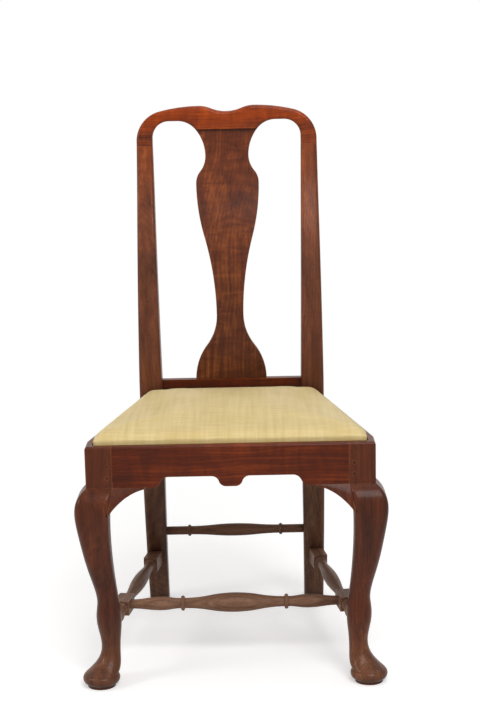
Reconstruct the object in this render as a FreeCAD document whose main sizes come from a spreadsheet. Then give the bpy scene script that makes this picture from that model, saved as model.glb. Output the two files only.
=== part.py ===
"""Side chair of about 1750 with cabriole front legs, a spooned back and a lift-out slip seat.

Millimetres, +Z up, the chair facing -Y and standing on Z = 0, with X = 0 its middle plane.
The origin is under the middle of the chair's footprint. Left and right are as seen from the front.
"""

import FreeCAD, Part
import math
import os

import Sketcher
from FreeCAD import Vector

# Driving dimensions: lengths in millimetres, angles in degrees, shares without a unit.
SIZES = {
    # Seat rails
    "seat_height": 440,  # top of the rails' lip above the floor
    "seat_depth": 425,  # front rail's face to the back posts' rear face
    "front_width": 502,  # over the square posts of the front legs
    "rear_width": 360,  # over the back posts at the seat
    "rail_height": 74,
    "rail_thickness": 36,
    "lip_width": 12,  # upstand that is left outside the rebate
    "rebate_depth": 14,
    "lip_round": 5,  # rounding of the lip's outer edge
    "arch_rise": 18.5,  # front rail's lower edge, above its lowest line
    "pendant_tip": 8,  # half width of the drop in the middle of the front rail
    "pendant_half": 33,  # half width of the drop at its root
    "arch_half": 108,  # half width of the arched stretch
    "arch_end": 136,  # half width where the arch has come down again
    "side_arch_rise": 17,
    "side_arch_margin": 62,  # straight stretch of a side rail's lower edge at each end
    "side_arch_run": 40,  # length of each curve of that arch
    # Joints of the seat
    "tenon_thickness": 10,
    "tenon_height": 40,
    "tenon_lift": 8,  # tenon's underside above the rail's
    "long_tenon": 22,  # front and rear rails
    "short_tenon": 14,  # side rails
    "tenon_setback": 13,  # a tenon's cheek behind the face of the leg or post
    "mortise_spare": 2,  # room past a tenon's end
    "pin_diameter": 6,
    "pin_proud": 0.8,  # of the crest rail's rear face
    "pin_length": 28,
    "pin_spacing": 20,
    "pin_setback": 9,  # pin's middle from the joint's shoulder
    # Front legs
    "leg_post": 46,  # side of the square post
    "post_corner": 0.05,  # part of a section's side that each corner rounds, as are the next corners
    "knee_corner": 0.2,
    "calf_corner": 0.28,
    "shin_corner": 0.36,
    "shank_corner": 0.43,
    "ankle_corner": 0.46,
    "knee_overhang": 21,  # knee in front of the post's faces
    "knee_drop": 42,  # below the rails, as are the next two
    "knee_size": 60,
    "calf_drop": 82,
    "calf_size": 55,
    "calf_overhang": 17,
    "shin_drop": 142,
    "shin_size": 46.5,
    "shin_overhang": 6,
    "shank_height": 150,
    "shank_size": 39,
    "shank_inset": 9,  # behind the post's faces, as are the next insets
    "ankle_height": 74,
    "ankle_size": 34,
    "ankle_inset": 13.5,
    "instep_height": 52,
    "instep_size": 36.5,
    "instep_inset": 10.5,
    "toe_height": 35,
    "toe_size": 48,
    "toe_overhang": 1,  # in front of them again
    "pad_diameter": 66,
    "pad_height": 23,
    "pad_inset": 13,  # pad's middle behind the post's faces
    "pad_shoulder": 4,  # its top edge inside its rim
    "pad_belly_share": 0.55,  # height of its rim between disc and top
    "disc_diameter": 50,
    "disc_height": 5,
    # Knee brackets
    "bracket_length": 56,
    "bracket_drop": 42,
    "bracket_depth": 24,
    "bracket_swell": 19,  # how far its face follows the knee outwards
    "bracket_tip": 2.5,
    "bracket_mid_drop": 0.45,  # shares of drop and swell a third of the way along
    "bracket_mid_swell": 0.4,
    # Back posts
    "post_width": 44,
    "post_depth": 45,
    "post_tip_depth": 26,
    "block_reveal": 14,  # square seat block below the rails
    "block_rise": 32,  # and above the rails' lip
    "leg_rake": 58,  # rear foot behind the post's rear face
    "rear_foot_depth": 36,
    "rear_foot_width": 39,
    "back_sway": 72,  # how far the back leans in all
    "sway_spare": 42,  # height above the humps where the back would be upright again
    "sway_share": 0.58,  # part of that height that bends backwards
    "shoulder_half": 175,  # half width of the back at the crest rail
    "shoulder_width": 31,  # post's width there
    "post_round": 6,  # rounding of the posts', splat's and crest rail's edges
    # Crest rail
    "crest_height": 998,  # the two humps
    "saddle_dip": 11,  # between them
    "hump_half": 54,
    "saddle_share": 0.55,  # hollow part of the curve from saddle to hump
    "shoulder_radius": 58,
    "shoulder_turn": 14,  # slope of the crest where the shoulder starts
    "crest_joint_drop": 75,  # humps to the joint between crest rail and post
    "crest_thickness": 26,
    "arch_drop": 28,  # humps to the openings beside the splat
    "opening_radius": 45,  # crown of an opening, beside the splat
    "throat_radius": 80,  # the splat's edge below it, down to the neck
    "opening_turn": 50,  # how far the crown bends before the throat starts
    "arch_corner": 32,
    "crest_tenon_height": 26,
    "crest_tenon_width": 18,
    # Splat and shoe
    "splat_thickness": 10,
    "splat_neck_half": 42,
    "splat_body_half": 61,
    "splat_body_drop": 148,  # humps to the splat's widest place
    "splat_waist_half": 26,
    "splat_waist_rise": 125,  # above the shoe
    "splat_base_half": 69,
    "neck_share": 0.58,  # hollow part of the curve from neck to body
    "taper_share": 0.4,  # round part of the curve from body to waist
    "base_share": 0.53,
    "tongue_depth": 12,
    "tongue_inset": 12,  # splat's tongues are narrower on each side
    "tongue_thickness": 8,
    "shoe_ledge": 10,  # rear rail in front of the shoe, which carries the seat
    "shoe_foot_depth": 32,
    "shoe_top_depth": 16.5,
    "shoe_cove": 4.5,
    "shoe_foot_height": 12,
    "shoe_fillet": 6,
    "nail_diameter": 2.6,
    "shoe_nail_length": 44,
    "shoe_nail_half": 110,
    "bracket_nail_length": 26,
    # Stretchers
    "stretcher_height": 104,
    "stretcher_inset": 30,  # axis behind the faces of the front leg's post
    "stretcher_block": 27,
    "stretcher_end": 20,  # diameter where it meets the front leg
    "stretcher_neck": 17,
    "stretcher_belly": 27,
    "stretcher_ring": 23,
    "medial_setback": 112,  # medial stretcher behind the front leg, along the side stretcher
    "medial_block_length": 46,
    "rear_block_length": 52,
    "ring_length": 7,
    "medial_swell": 36,
    "medial_swell_half": 92,
    "medial_neck": 19,
    "medial_ring": 28,
    "medial_end": 17,
    "medial_vase": 25,
    "medial_vase_share": 0.4,  # its place between ring and end
    "rear_stretcher_height": 156,
    "rear_stretcher_swell": 25,
    "rear_stretcher_neck": 17,
    "rear_stretcher_ring": 23,
    "rear_stretcher_ring_half": 88,
    "stretcher_tenon": 14,
    # Corner blocks
    "corner_block_leg": 62,
    "corner_block_height": 44,
    "corner_block_drop": 2,
    # Slip seat
    "seat_gap": 2,
    "rest_gap": 0.3,
    "cover_thickness": 1,
    "cover_turn": 40,  # cover turned under the frame
    "board_width": 58,
    "board_thickness": 18,
    "board_tenon": 22,
    "board_tenon_thickness": 6,
    "board_tenon_margin": 10,
    "webbing_width": 50,
    "webbing_thickness": 1.5,
    "webbing_pitch": 78,
    "webbing_margin": 6,
    "linen_thickness": 0.8,
    "linen_margin": 4,
    "stuffing_height": 21,
    "stuffing_round": 15,
    "tack_head": 8,
    "tack_head_height": 1,
    "tack_shank": 2,
    "tack_length": 11,
    "tack_pitch": 45,
    "tack_inset": 33,  # tacks from the frame's outer edge
}

doc = FreeCAD.newDocument("side_chair")
sheet = doc.addObject("Spreadsheet::Sheet", "dims")
for row, (alias, value) in enumerate(SIZES.items(), 1):
    sheet.set(f"A{row}", alias)
    sheet.set(f"B{row}", str(value))
    sheet.setAlias(f"B{row}", alias)
doc.recompute()


def num(expression):
    """Value of an expression of the sheet's cells, in millimetres or degrees."""
    value = sheet.evalExpression(str(expression))
    return float(getattr(value, "Value", value))


# Places worked out from the driving dimensions, as expressions.
FRONT_Y = "((dims.knee_overhang - dims.seat_depth - dims.leg_rake) / 2)"
POST_BACK = f"({FRONT_Y} + dims.seat_depth)"
POST_FRONT = f"({POST_BACK} - dims.post_depth)"
POST_MID = f"({POST_BACK} - dims.post_depth / 2)"
FRONT_HALF = "(dims.front_width / 2)"
REAR_HALF = "(dims.rear_width / 2)"
POST_IN = f"({REAR_HALF} - dims.post_width)"
LEG_IN = f"({FRONT_HALF} - dims.leg_post)"
LEG_REAR = f"({FRONT_Y} + dims.leg_post)"
REBATE_Z = "(dims.seat_height - dims.rebate_depth)"
RAIL_BOTTOM = "(dims.seat_height - dims.rail_height)"
BLOCK_BOTTOM = f"({RAIL_BOTTOM} - dims.block_reveal)"
BLOCK_TOP = "(dims.seat_height + dims.block_rise)"
TENON_TOP = f"({RAIL_BOTTOM} + dims.tenon_lift + dims.tenon_height)"
TENON_MID = f"({TENON_TOP} - dims.tenon_height / 2)"
SPLAY = f"(({FRONT_HALF} - {REAR_HALF}) / ({POST_FRONT} - {LEG_REAR}))"
SHOULDER_IN = "(dims.shoulder_half - dims.shoulder_width)"
SHOE_FRONT = f"({POST_FRONT} + dims.shoe_ledge)"
SWAY_TOP = "(dims.crest_height + dims.sway_spare)"
SADDLE = "(dims.crest_height - dims.saddle_dip)"
CREST_JOINT = "(dims.crest_height - dims.crest_joint_drop)"
ARCH_TOP = "(dims.crest_height - dims.arch_drop)"
SPLAT_JOINT = f"({ARCH_TOP} - dims.opening_radius * (1 - cos(dims.opening_turn)))"
SPLAT_JOINT_HALF = "(dims.splat_neck_half + dims.throat_radius * (1 - sin(dims.opening_turn)))"
ARCH_PEAK_HALF = f"({SPLAT_JOINT_HALF} + dims.opening_radius * sin(dims.opening_turn))"
NECK_HEIGHT = f"({SPLAT_JOINT} - dims.throat_radius * cos(dims.opening_turn))"
SPLAT_BODY = "(dims.crest_height - dims.splat_body_drop)"
SPLAT_WAIST = f"({BLOCK_TOP} + dims.splat_waist_rise)"
KNEE_HEIGHT = f"({RAIL_BOTTOM} - dims.knee_drop)"
CALF_HEIGHT = f"({RAIL_BOTTOM} - dims.calf_drop)"
SHIN_HEIGHT = f"({RAIL_BOTTOM} - dims.shin_drop)"
CREST_MID = f"({POST_MID} + dims.back_sway)"


def side_line(inset, y):
    """X of a line along the side rail, inset from its outer face, at a given Y."""
    return f"({FRONT_HALF} - {inset} - {SPLAY} * ({y} - {LEG_REAR}))"


def minus(expression):
    """The expression with its sign turned, for the left half of an outline."""
    return "0" if expression == "0" else f"(0 - {expression})"


# Sketches and features

EVEN = "0.5"  # both arcs of an ogee alike


def line(x, y):
    """Straight run to a point of an outline."""
    return ("line", (x, y))


def arc(x, y, radius, turn):
    """Round run to a point: turn is 1 to the left of the way there and -1 to the right."""
    return ("arc", (x, y), radius, turn)


def ogee(start, end, share, upright=True):
    """Two tangent arcs between points whose tangents are both upright, or both level."""
    across = f"({end[0]} - {start[0]})"
    along = f"({end[1]} - {start[1]})"
    offset = across if upright else along
    total = f"(({across} ^ 2 + {along} ^ 2) / (2 * abs({offset})))"
    middle = (f"({start[0]} + {share} * {across})", f"({start[1]} + {share} * {along})")
    turn = 1 if num(across) * num(along) < 0 else -1
    turn = turn if upright else -turn
    return [
        arc(*middle, f"({share} * {total})", turn),
        arc(*end, f"((1 - {share}) * {total})", -turn),
    ]


def other_half(start, steps):
    """A run's mirror image, taken backwards so that it carries on from the run's end."""
    points = [start] + [step[1] for step in steps]
    back = [line(minus(points[-1][0]), points[-1][1])]
    for step, (x, y) in zip(reversed(steps), reversed(points[:-1])):
        back.append((step[0], (minus(x), y), *step[2:]))
    return back


def new_body(name):
    """An empty body whose label is its own until the finished piece takes the name."""
    return doc.addObject("PartDesign::Body", name + "_body")


def plane(body, role):
    """One of the body's own origin planes or axes."""
    return next(item for item in body.Origin.OriginFeatures if item.Role == role)


class Outline:
    """A sketch whose corners are tied to the sheet, each by an expression."""

    def __init__(self, body, name, role, shift=("0", "0", "0")):
        self.sketch = body.newObject("Sketcher::SketchObject", name)
        self.sketch.AttachmentSupport = (plane(body, role), [""])
        self.sketch.MapMode = "FlatFace"
        for axis, expression in zip("xyz", shift):
            if expression != "0":
                self.sketch.setExpression(f"AttachmentOffset.Base.{axis}", expression)
        self.corners = {}

    def at(self, point):
        """Where a point is, from its two expressions."""
        return Vector(num(point[0]), num(point[1]), 0)

    def tie(self, geometry, position, point):
        """Fixes one end of a line or arc at a point, or joins it to an end already there."""
        if point in self.corners:
            first = self.corners[point]
            self.sketch.addConstraint(Sketcher.Constraint("Coincident", geometry, position, *first))
            return
        self.corners[point] = (geometry, position)
        for kind, axis, expression in (("DistanceX", -2, point[0]), ("DistanceY", -1, point[1])):
            if expression == "0":
                self.sketch.addConstraint(Sketcher.Constraint("PointOnObject", geometry, position, axis))
                continue
            number = self.sketch.addConstraint(
                Sketcher.Constraint(kind, -1, 1, geometry, position, num(expression))
            )
            self.sketch.setExpression(f"Constraints[{number}]", expression)

    def loop(self, start, *steps):
        """Draws a closed outline from a start point through the steps and back."""
        here = start
        for step in [*steps, line(*start)]:
            there = step[1]
            if there == here:
                continue
            if step[0] == "line":
                number = self.sketch.addGeometry(Part.LineSegment(self.at(here), self.at(there)))
                first, last = 1, 2
            else:
                number, first, last = self.draw_arc(here, there, step[2], step[3])
            self.tie(number, first, here)
            self.tie(number, last, there)
            here = there
        return self

    def draw_arc(self, here, there, radius, turn):
        """Adds an arc under half a circle with its radius tied to the sheet."""
        start, end = self.at(here), self.at(there)
        chord = end - start
        left = Vector(-chord.y, chord.x, 0).normalize()
        size = num(radius)
        centre = (start + end) / 2 + left * turn * math.sqrt(max(size**2 - chord.Length**2 / 4, 0))
        ends = (start, end) if turn > 0 else (end, start)
        angles = [math.atan2((p - centre).y, (p - centre).x) for p in ends]
        circle = Part.Circle(centre, Vector(0, 0, 1), size)
        number = self.sketch.addGeometry(Part.ArcOfCircle(circle, *angles))
        constraint = self.sketch.addConstraint(Sketcher.Constraint("Radius", number, size))
        self.sketch.setExpression(f"Constraints[{constraint}]", radius)
        return (number, 1, 2) if turn > 0 else (number, 2, 1)

    def box(self, left, right, low, high):
        """Draws a rectangle."""
        return self.loop((left, low), line(right, low), line(right, high), line(left, high))

    def polygon(self, points):
        """Draws straight runs through points."""
        return self.loop(points[0], *[line(*point) for point in points[1:]])


def pad(body, outline, length, side="One side", reverse=False):
    """Raises an outline into a solid."""
    feature = body.newObject("PartDesign::Pad", outline.sketch.Name + "_pad")
    feature.Profile = outline.sketch
    feature.SideType = side
    feature.Reversed = reverse
    feature.setExpression("Length", length)
    doc.recompute()
    return feature


def pocket(body, outline, length=None):
    """Cuts an outline out of a solid: downwards by a length, or right through both ways."""
    feature = body.newObject("PartDesign::Pocket", outline.sketch.Name + "_cut")
    feature.Profile = outline.sketch
    if length is None:
        feature.Type = "ThroughAll"
        feature.SideType = "Symmetric"
    else:
        feature.setExpression("Length", length)
    doc.recompute()
    return feature


def plan_pad(body, name, points, low, height):
    """Raises a plan outline from a level."""
    return pad(body, Outline(body, name, "XY_Plane", ("0", "0", low)).polygon(points), height)


def plan_cut(body, name, points, high, depth):
    """Sinks a plan outline from a level downwards."""
    return pocket(body, Outline(body, name, "XY_Plane", ("0", "0", high)).polygon(points), depth)


def rectangle(left, right, near, far):
    """Corners of a plan rectangle."""
    return [(left, near), (right, near), (right, far), (left, far)]


def both_halves(points):
    """A right-hand run of points and its mirror image, as one outline."""
    return points + [(minus(x), y) for x, y in reversed(points) if x != "0"]


def keep_inside(body, name, start, *steps):
    """Saws away all that lies outside an outline in the front view."""
    around = "(dims.crest_height + dims.front_width)"
    outline = Outline(body, name, "XZ_Plane")
    outline.box(minus(around), around, minus(around), around)
    outline.loop(start, *steps)
    return pocket(body, outline)


def round_edges(body, base, name, radius, chosen):
    """Rounds the edges of a feature that a test picks."""
    edges = [f"Edge{n}" for n, edge in enumerate(base.Shape.Edges, 1) if chosen(edge)]
    feature = body.newObject("PartDesign::Fillet", name)
    feature.Base = (base, edges)
    feature.setExpression("Radius", radius)
    doc.recompute()
    return feature


SUBPARTS = {}


def finish(name, item):
    """Names a finished piece and lists it for export."""
    item.Label = name
    SUBPARTS[name] = item
    return item


def cut(name, base, *tools):
    """A piece with other shapes taken out of it."""
    tool = tools[0]
    if len(tools) > 1:
        tool = doc.addObject("Part::Compound", name + "_tools")
        tool.Links = list(tools)
    feature = doc.addObject("Part::Cut", name + "_cut")
    feature.Base = base
    feature.Tool = tool
    doc.recompute()
    return feature


def group(name, items):
    """Separate solids that share one name."""
    feature = doc.addObject("Part::Compound", name)
    feature.Links = list(items)
    doc.recompute()
    return feature


def mirror(name, source):
    """The left-hand twin of a right-hand piece."""
    feature = doc.addObject("Part::Mirroring", name + "_twin")
    feature.Source = source
    feature.Base = Vector(0, 0, 0)
    feature.Normal = Vector(1, 0, 0)
    doc.recompute()
    return feature


def rod(name, diameter, length, place, axis, angle):
    """A round bar that starts at a place and runs along Z turned about an axis."""
    bar = doc.addObject("Part::Cylinder", name)
    bar.setExpression("Radius", f"{diameter} / 2")
    bar.setExpression("Height", length)
    bar.Placement.Rotation = FreeCAD.Rotation(axis, angle)
    for letter, expression in zip("xyz", place):
        bar.setExpression(f"Placement.Base.{letter}", expression)
    return bar


QUARTER_TURN = 90
ALONG_X = (Vector(0, 1, 0), QUARTER_TURN)
ALONG_Y = (Vector(1, 0, 0), -QUARTER_TURN)
ALONG_Z = (Vector(0, 0, 1), 0)


# The curve of the back, seen from the side

def sway(offset_low, offset_high, up=True):
    """The back's double curve, between a depth at the seat block and one at the top."""
    low = (f"({POST_MID} + {offset_low})", BLOCK_TOP)
    high = (f"({CREST_MID} + {offset_high})", SWAY_TOP)
    if up:
        return ogee(low, high, "dims.sway_share")
    return ogee(high, low, "(1 - dims.sway_share)")


def sway_y(height):
    """Depth of the back's middle at a height in its upper curve."""
    rise = f"({SWAY_TOP} - {BLOCK_TOP})"
    radius = f"((1 - dims.sway_share) * ({rise} ^ 2 + dims.back_sway ^ 2) / (2 * dims.back_sway))"
    return f"({CREST_MID} - {radius} + sqrt({radius} ^ 2 - ({SWAY_TOP} - {height}) ^ 2))"


def back_board(body, thickness, low, half):
    """A board bent to the curve of the back, from a level up to past the crest."""
    front = f"(0 - {thickness} / 2)"
    rear = f"({thickness} / 2)"
    outline = Outline(body, body.Name + "_side", "YZ_Plane")
    outline.loop(
        (f"({POST_MID} + {front})", low),
        line(f"({POST_MID} + {front})", BLOCK_TOP),
        *sway(front, front),
        line(f"({CREST_MID} + {rear})", SWAY_TOP),
        *sway(rear, rear, up=False),
        line(f"({POST_MID} + {rear})", low),
    )
    return pad(body, outline, f"(2 * {half})", side="Symmetric")


# Back posts: rear leg, seat block and stile in one piece

def rear_leg_radius(shift):
    """Radius of the rear leg's bend for a shift at the floor."""
    return f"(({BLOCK_BOTTOM} ^ 2 + {shift} ^ 2) / (2 * {shift}))"


def rear_leg_y(height):
    """Depth of the middle of the rear leg at a height."""
    ends = []
    for top, shift in ((POST_FRONT, REAR_LEG_FRONT_SHIFT), (POST_BACK, "dims.leg_rake")):
        radius = rear_leg_radius(shift)
        drop = f"({BLOCK_BOTTOM} - {height})"
        ends.append(f"({top} + {radius} - sqrt({radius} ^ 2 - {drop} ^ 2))")
    return f"(({ends[0]} + {ends[1]}) / 2)"


REAR_LEG_FRONT_SHIFT = "(dims.leg_rake + dims.post_depth - dims.rear_foot_depth)"
REAR_LEG_X = f"({REAR_HALF} - dims.post_width / 2)"


def crest_tenon():
    """Plan of the tenon at the top of the right-hand post."""
    middle_x = "(dims.shoulder_half - dims.shoulder_width / 2)"
    middle_y = sway_y(f"({CREST_JOINT} + dims.crest_tenon_height / 2)")
    half_x = "(dims.crest_tenon_width / 2)"
    half_y = "(dims.tenon_thickness / 2)"
    return rectangle(
        f"({middle_x} - {half_x})", f"({middle_x} + {half_x})",
        f"({middle_y} - {half_y})", f"({middle_y} + {half_y})",
    )


def rear_rail_tenon(spare="0"):
    """Plan of the rear rail's right-hand tenon, with room past its end."""
    far = f"({POST_IN} + dims.long_tenon + {spare})"
    rear = f"({POST_BACK} - dims.tenon_setback)"
    return rectangle(POST_IN, far, f"({rear} - dims.tenon_thickness)", rear)


def side_rail_rear_tenon(spare="0"):
    """Plan of the right-hand side rail's tenon in the back post."""
    right = f"({REAR_HALF} - dims.tenon_setback)"
    far = f"({POST_FRONT} + dims.short_tenon + {spare})"
    return rectangle(f"({right} - dims.tenon_thickness)", right, POST_FRONT, far)


def side_rail_front_tenon(spare="0"):
    """Plan of the right-hand side rail's tenon in the front leg."""
    right = f"({FRONT_HALF} - dims.tenon_setback)"
    near = f"({LEG_REAR} - dims.short_tenon - {spare})"
    return rectangle(f"({right} - dims.tenon_thickness)", right, near, LEG_REAR)


def front_rail_tenon(spare="0"):
    """Plan of the front rail's right-hand tenon."""
    near = f"({FRONT_Y} + dims.tenon_setback)"
    far = f"({LEG_IN} + dims.long_tenon + {spare})"
    return rectangle(LEG_IN, far, near, f"({near} + dims.tenon_thickness)")


def pins(name, x, y, turn):
    """Round pins at the two heights of a seat joint."""
    made = []
    for place, sign in (("upper", "+"), ("lower", "-")):
        height = f"({TENON_MID} {sign} dims.pin_spacing / 2)"
        made.append(rod(f"{name}_{place}", "dims.pin_diameter", "dims.pin_length", (x, y, height), *turn))
    return made


def back_post_pins():
    """Pins of the right-hand back post: through the rear rail's and the side rail's tenons."""
    rear_x = f"({POST_IN} + dims.pin_setback)"
    side_y = f"({POST_FRONT} + dims.short_tenon / 2)"
    return (
        pins("rear_rail_pin", rear_x, f"({POST_BACK} - dims.pin_length)", ALONG_Y)
        + pins("side_rail_rear_pin", f"({REAR_HALF} - dims.pin_length)", side_y, ALONG_X)
    )


def front_leg_pins():
    """Pins of the right-hand front leg: through the front rail's and the side rail's tenons."""
    front_x = f"({LEG_IN} + dims.pin_setback)"
    side_y = f"({LEG_REAR} - dims.short_tenon / 2)"
    return (
        pins("front_rail_pin", front_x, FRONT_Y, ALONG_Y)
        + pins("side_rail_front_pin", f"({FRONT_HALF} - dims.pin_length)", side_y, ALONG_X)
    )


def build_back_post(holes):
    """The right-hand post, with its mortises, and without the holes of pins and stretchers."""
    body = new_body("back_post")
    side = Outline(body, "back_post_side", "YZ_Plane")
    half_low = "(dims.post_depth / 2)"
    half_high = "(dims.post_tip_depth / 2)"
    foot_back = f"({POST_BACK} + dims.leg_rake)"
    side.loop(
        (POST_FRONT, BLOCK_BOTTOM),
        line(f"({POST_MID} + (0 - {half_low}))", BLOCK_TOP),
        *sway(minus(half_low), minus(half_high)),
        line(f"({CREST_MID} + {half_high})", SWAY_TOP),
        *sway(half_low, half_high, up=False),
        line(POST_BACK, BLOCK_BOTTOM),
        arc(foot_back, "0", rear_leg_radius("dims.leg_rake"), 1),
        line(f"({foot_back} - dims.rear_foot_depth)", "0"),
        arc(POST_FRONT, BLOCK_BOTTOM, rear_leg_radius(REAR_LEG_FRONT_SHIFT), -1),
    )
    pad(body, side, FRONT_HALF)
    under = "(0 - dims.rail_height)"
    foot_out = f"({REAR_LEG_X} + dims.rear_foot_width / 2)"
    foot_in = f"({REAR_LEG_X} - dims.rear_foot_width / 2)"
    sawn = keep_inside(
        body, "back_post_front",
        (foot_in, under),
        line(foot_out, under),
        line(foot_out, "0"),
        line(REAR_HALF, BLOCK_BOTTOM),
        line(REAR_HALF, BLOCK_TOP),
        line("dims.shoulder_half", CREST_JOINT),
        line(SHOULDER_IN, CREST_JOINT),
        line(POST_IN, BLOCK_TOP),
        line(POST_IN, BLOCK_BOTTOM),
        line(foot_in, "0"),
    )
    block_top, joint = num(BLOCK_TOP), num(CREST_JOINT)

    def along_stile(edge):
        box = edge.BoundBox
        return box.ZMin > block_top - 1 and box.ZMax < joint + 1 and box.ZLength > box.XLength * 3

    round_edges(body, sawn, "back_post_round", "dims.post_round", along_stile)
    plan_pad(body, "crest_tenon", crest_tenon(), CREST_JOINT, "dims.crest_tenon_height")
    spare = "dims.mortise_spare"
    plan_cut(body, "rear_rail_mortise", rear_rail_tenon(spare), TENON_TOP, "dims.tenon_height")
    plan_cut(body, "side_rail_mortise", side_rail_rear_tenon(spare), TENON_TOP, "dims.tenon_height")
    return cut("back_post", body, *holes)


# Front legs: square post, cabriole and pad foot in one piece

def rounded_square(body, name, height, size, inset, share):
    """A leg section with its outer faces inset from the post's, and rounded corners."""
    right = f"({FRONT_HALF} - {inset})"
    near = f"({FRONT_Y} + {inset})"
    left = f"({right} - {size})"
    far = f"({near} + {size})"
    round_off = f"({share} * {size})"
    outline = Outline(body, name, "XY_Plane", ("0", "0", height))
    outline.loop(
        (f"({left} + {round_off})", near),
        line(f"({right} - {round_off})", near),
        arc(right, f"({near} + {round_off})", round_off, 1),
        line(right, f"({far} - {round_off})"),
        arc(f"({right} - {round_off})", far, round_off, 1),
        line(f"({left} + {round_off})", far),
        arc(left, f"({far} - {round_off})", round_off, 1),
        line(left, f"({near} + {round_off})"),
        arc(f"({left} + {round_off})", near, round_off, 1),
    )
    return outline.sketch


# Height, size and inset of each section, and the share of its side that each corner rounds.
LEG_SECTIONS = (
    (RAIL_BOTTOM, "dims.leg_post", "0", "dims.post_corner"),
    (KNEE_HEIGHT, "dims.knee_size", "(0 - dims.knee_overhang)", "dims.knee_corner"),
    (CALF_HEIGHT, "dims.calf_size", "(0 - dims.calf_overhang)", "dims.calf_corner"),
    (SHIN_HEIGHT, "dims.shin_size", "(0 - dims.shin_overhang)", "dims.shin_corner"),
    ("dims.shank_height", "dims.shank_size", "dims.shank_inset", "dims.shank_corner"),
    ("dims.ankle_height", "dims.ankle_size", "dims.ankle_inset", "dims.ankle_corner"),
    ("dims.instep_height", "dims.instep_size", "dims.instep_inset", "dims.ankle_corner"),
    ("dims.toe_height", "dims.toe_size", "(0 - dims.toe_overhang)", "dims.ankle_corner"),
)


def build_front_leg(holes):
    """The right-hand front leg with its mortises and the corner of the seat's rebate."""
    body = new_body("front_leg")
    sections = [
        rounded_square(body, f"leg_section_{n}", *section) for n, section in enumerate(LEG_SECTIONS)
    ]
    pad_centre = (f"({FRONT_HALF} - dims.pad_inset)", f"({FRONT_Y} + dims.pad_inset)")
    sections.append(
        rounded_square(body, "leg_section_pad", "dims.pad_height",
                       "(dims.pad_diameter - 2 * dims.pad_shoulder)",
                       "(dims.pad_inset - dims.pad_diameter / 2 + dims.pad_shoulder)",
                       "dims.ankle_corner")
    )
    loft = body.newObject("PartDesign::AdditiveLoft", "leg_loft")
    loft.Profile = sections[0]
    loft.Sections = sections[1:]
    doc.recompute()
    plan_pad(body, "leg_post", rectangle(LEG_IN, FRONT_HALF, FRONT_Y, LEG_REAR), RAIL_BOTTOM,
             "dims.rail_height")
    foot = Outline(body, "pad_profile", "XZ_Plane", (pad_centre[0], "0", minus(pad_centre[1])))
    rim = "(dims.pad_diameter / 2)"
    disc = "(dims.disc_diameter / 2)"
    belly = "(dims.disc_height + (dims.pad_height - dims.disc_height) * dims.pad_belly_share)"
    shoulder = f"({rim} - dims.pad_shoulder)"
    under_rim = f"({rim} - {disc})"
    under_rise = f"({belly} - dims.disc_height)"
    over_rise = f"(dims.pad_height - {belly})"
    under_round = f"(({under_rim} ^ 2 + {under_rise} ^ 2) / (2 * {under_rim}))"
    over_round = f"((dims.pad_shoulder ^ 2 + {over_rise} ^ 2) / (2 * dims.pad_shoulder))"
    foot.loop(
        ("0", "0"),
        line(disc, "0"),
        line(disc, "dims.disc_height"),
        arc(rim, belly, under_round, 1),
        arc(shoulder, "dims.pad_height", over_round, 1),
        line("0", "dims.pad_height"),
    )
    turned = body.newObject("PartDesign::Revolution", "pad_foot")
    turned.Profile = foot.sketch
    turned.ReferenceAxis = (foot.sketch, ["V_Axis"])
    turned.Angle = 360
    doc.recompute()
    inner = rectangle(f"({LEG_IN} - dims.leg_post)", f"({FRONT_HALF} - dims.lip_width)",
                      f"({FRONT_Y} + dims.lip_width)", f"({LEG_REAR} + dims.leg_post)")
    plan_cut(body, "leg_rebate", inner, "dims.seat_height", "dims.rebate_depth")
    spare = "dims.mortise_spare"
    plan_cut(body, "front_rail_mortise", front_rail_tenon(spare), TENON_TOP, "dims.tenon_height")
    last = plan_cut(body, "leg_side_rail_mortise", side_rail_front_tenon(spare), TENON_TOP,
                    "dims.tenon_height")
    top, front, right = num("dims.seat_height"), num(FRONT_Y), num(FRONT_HALF)

    def outer_lip(edge):
        box = edge.BoundBox
        level = abs(box.ZMin - top) < 0.01 and box.ZLength < 0.01
        outside = abs(box.YMax - front) < 0.01 or abs(box.XMin - right) < 0.01
        return level and outside

    round_edges(body, last, "leg_lip_round", "dims.lip_round", outer_lip)
    return cut("front_leg", body, *holes)


# Seat rails

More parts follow.
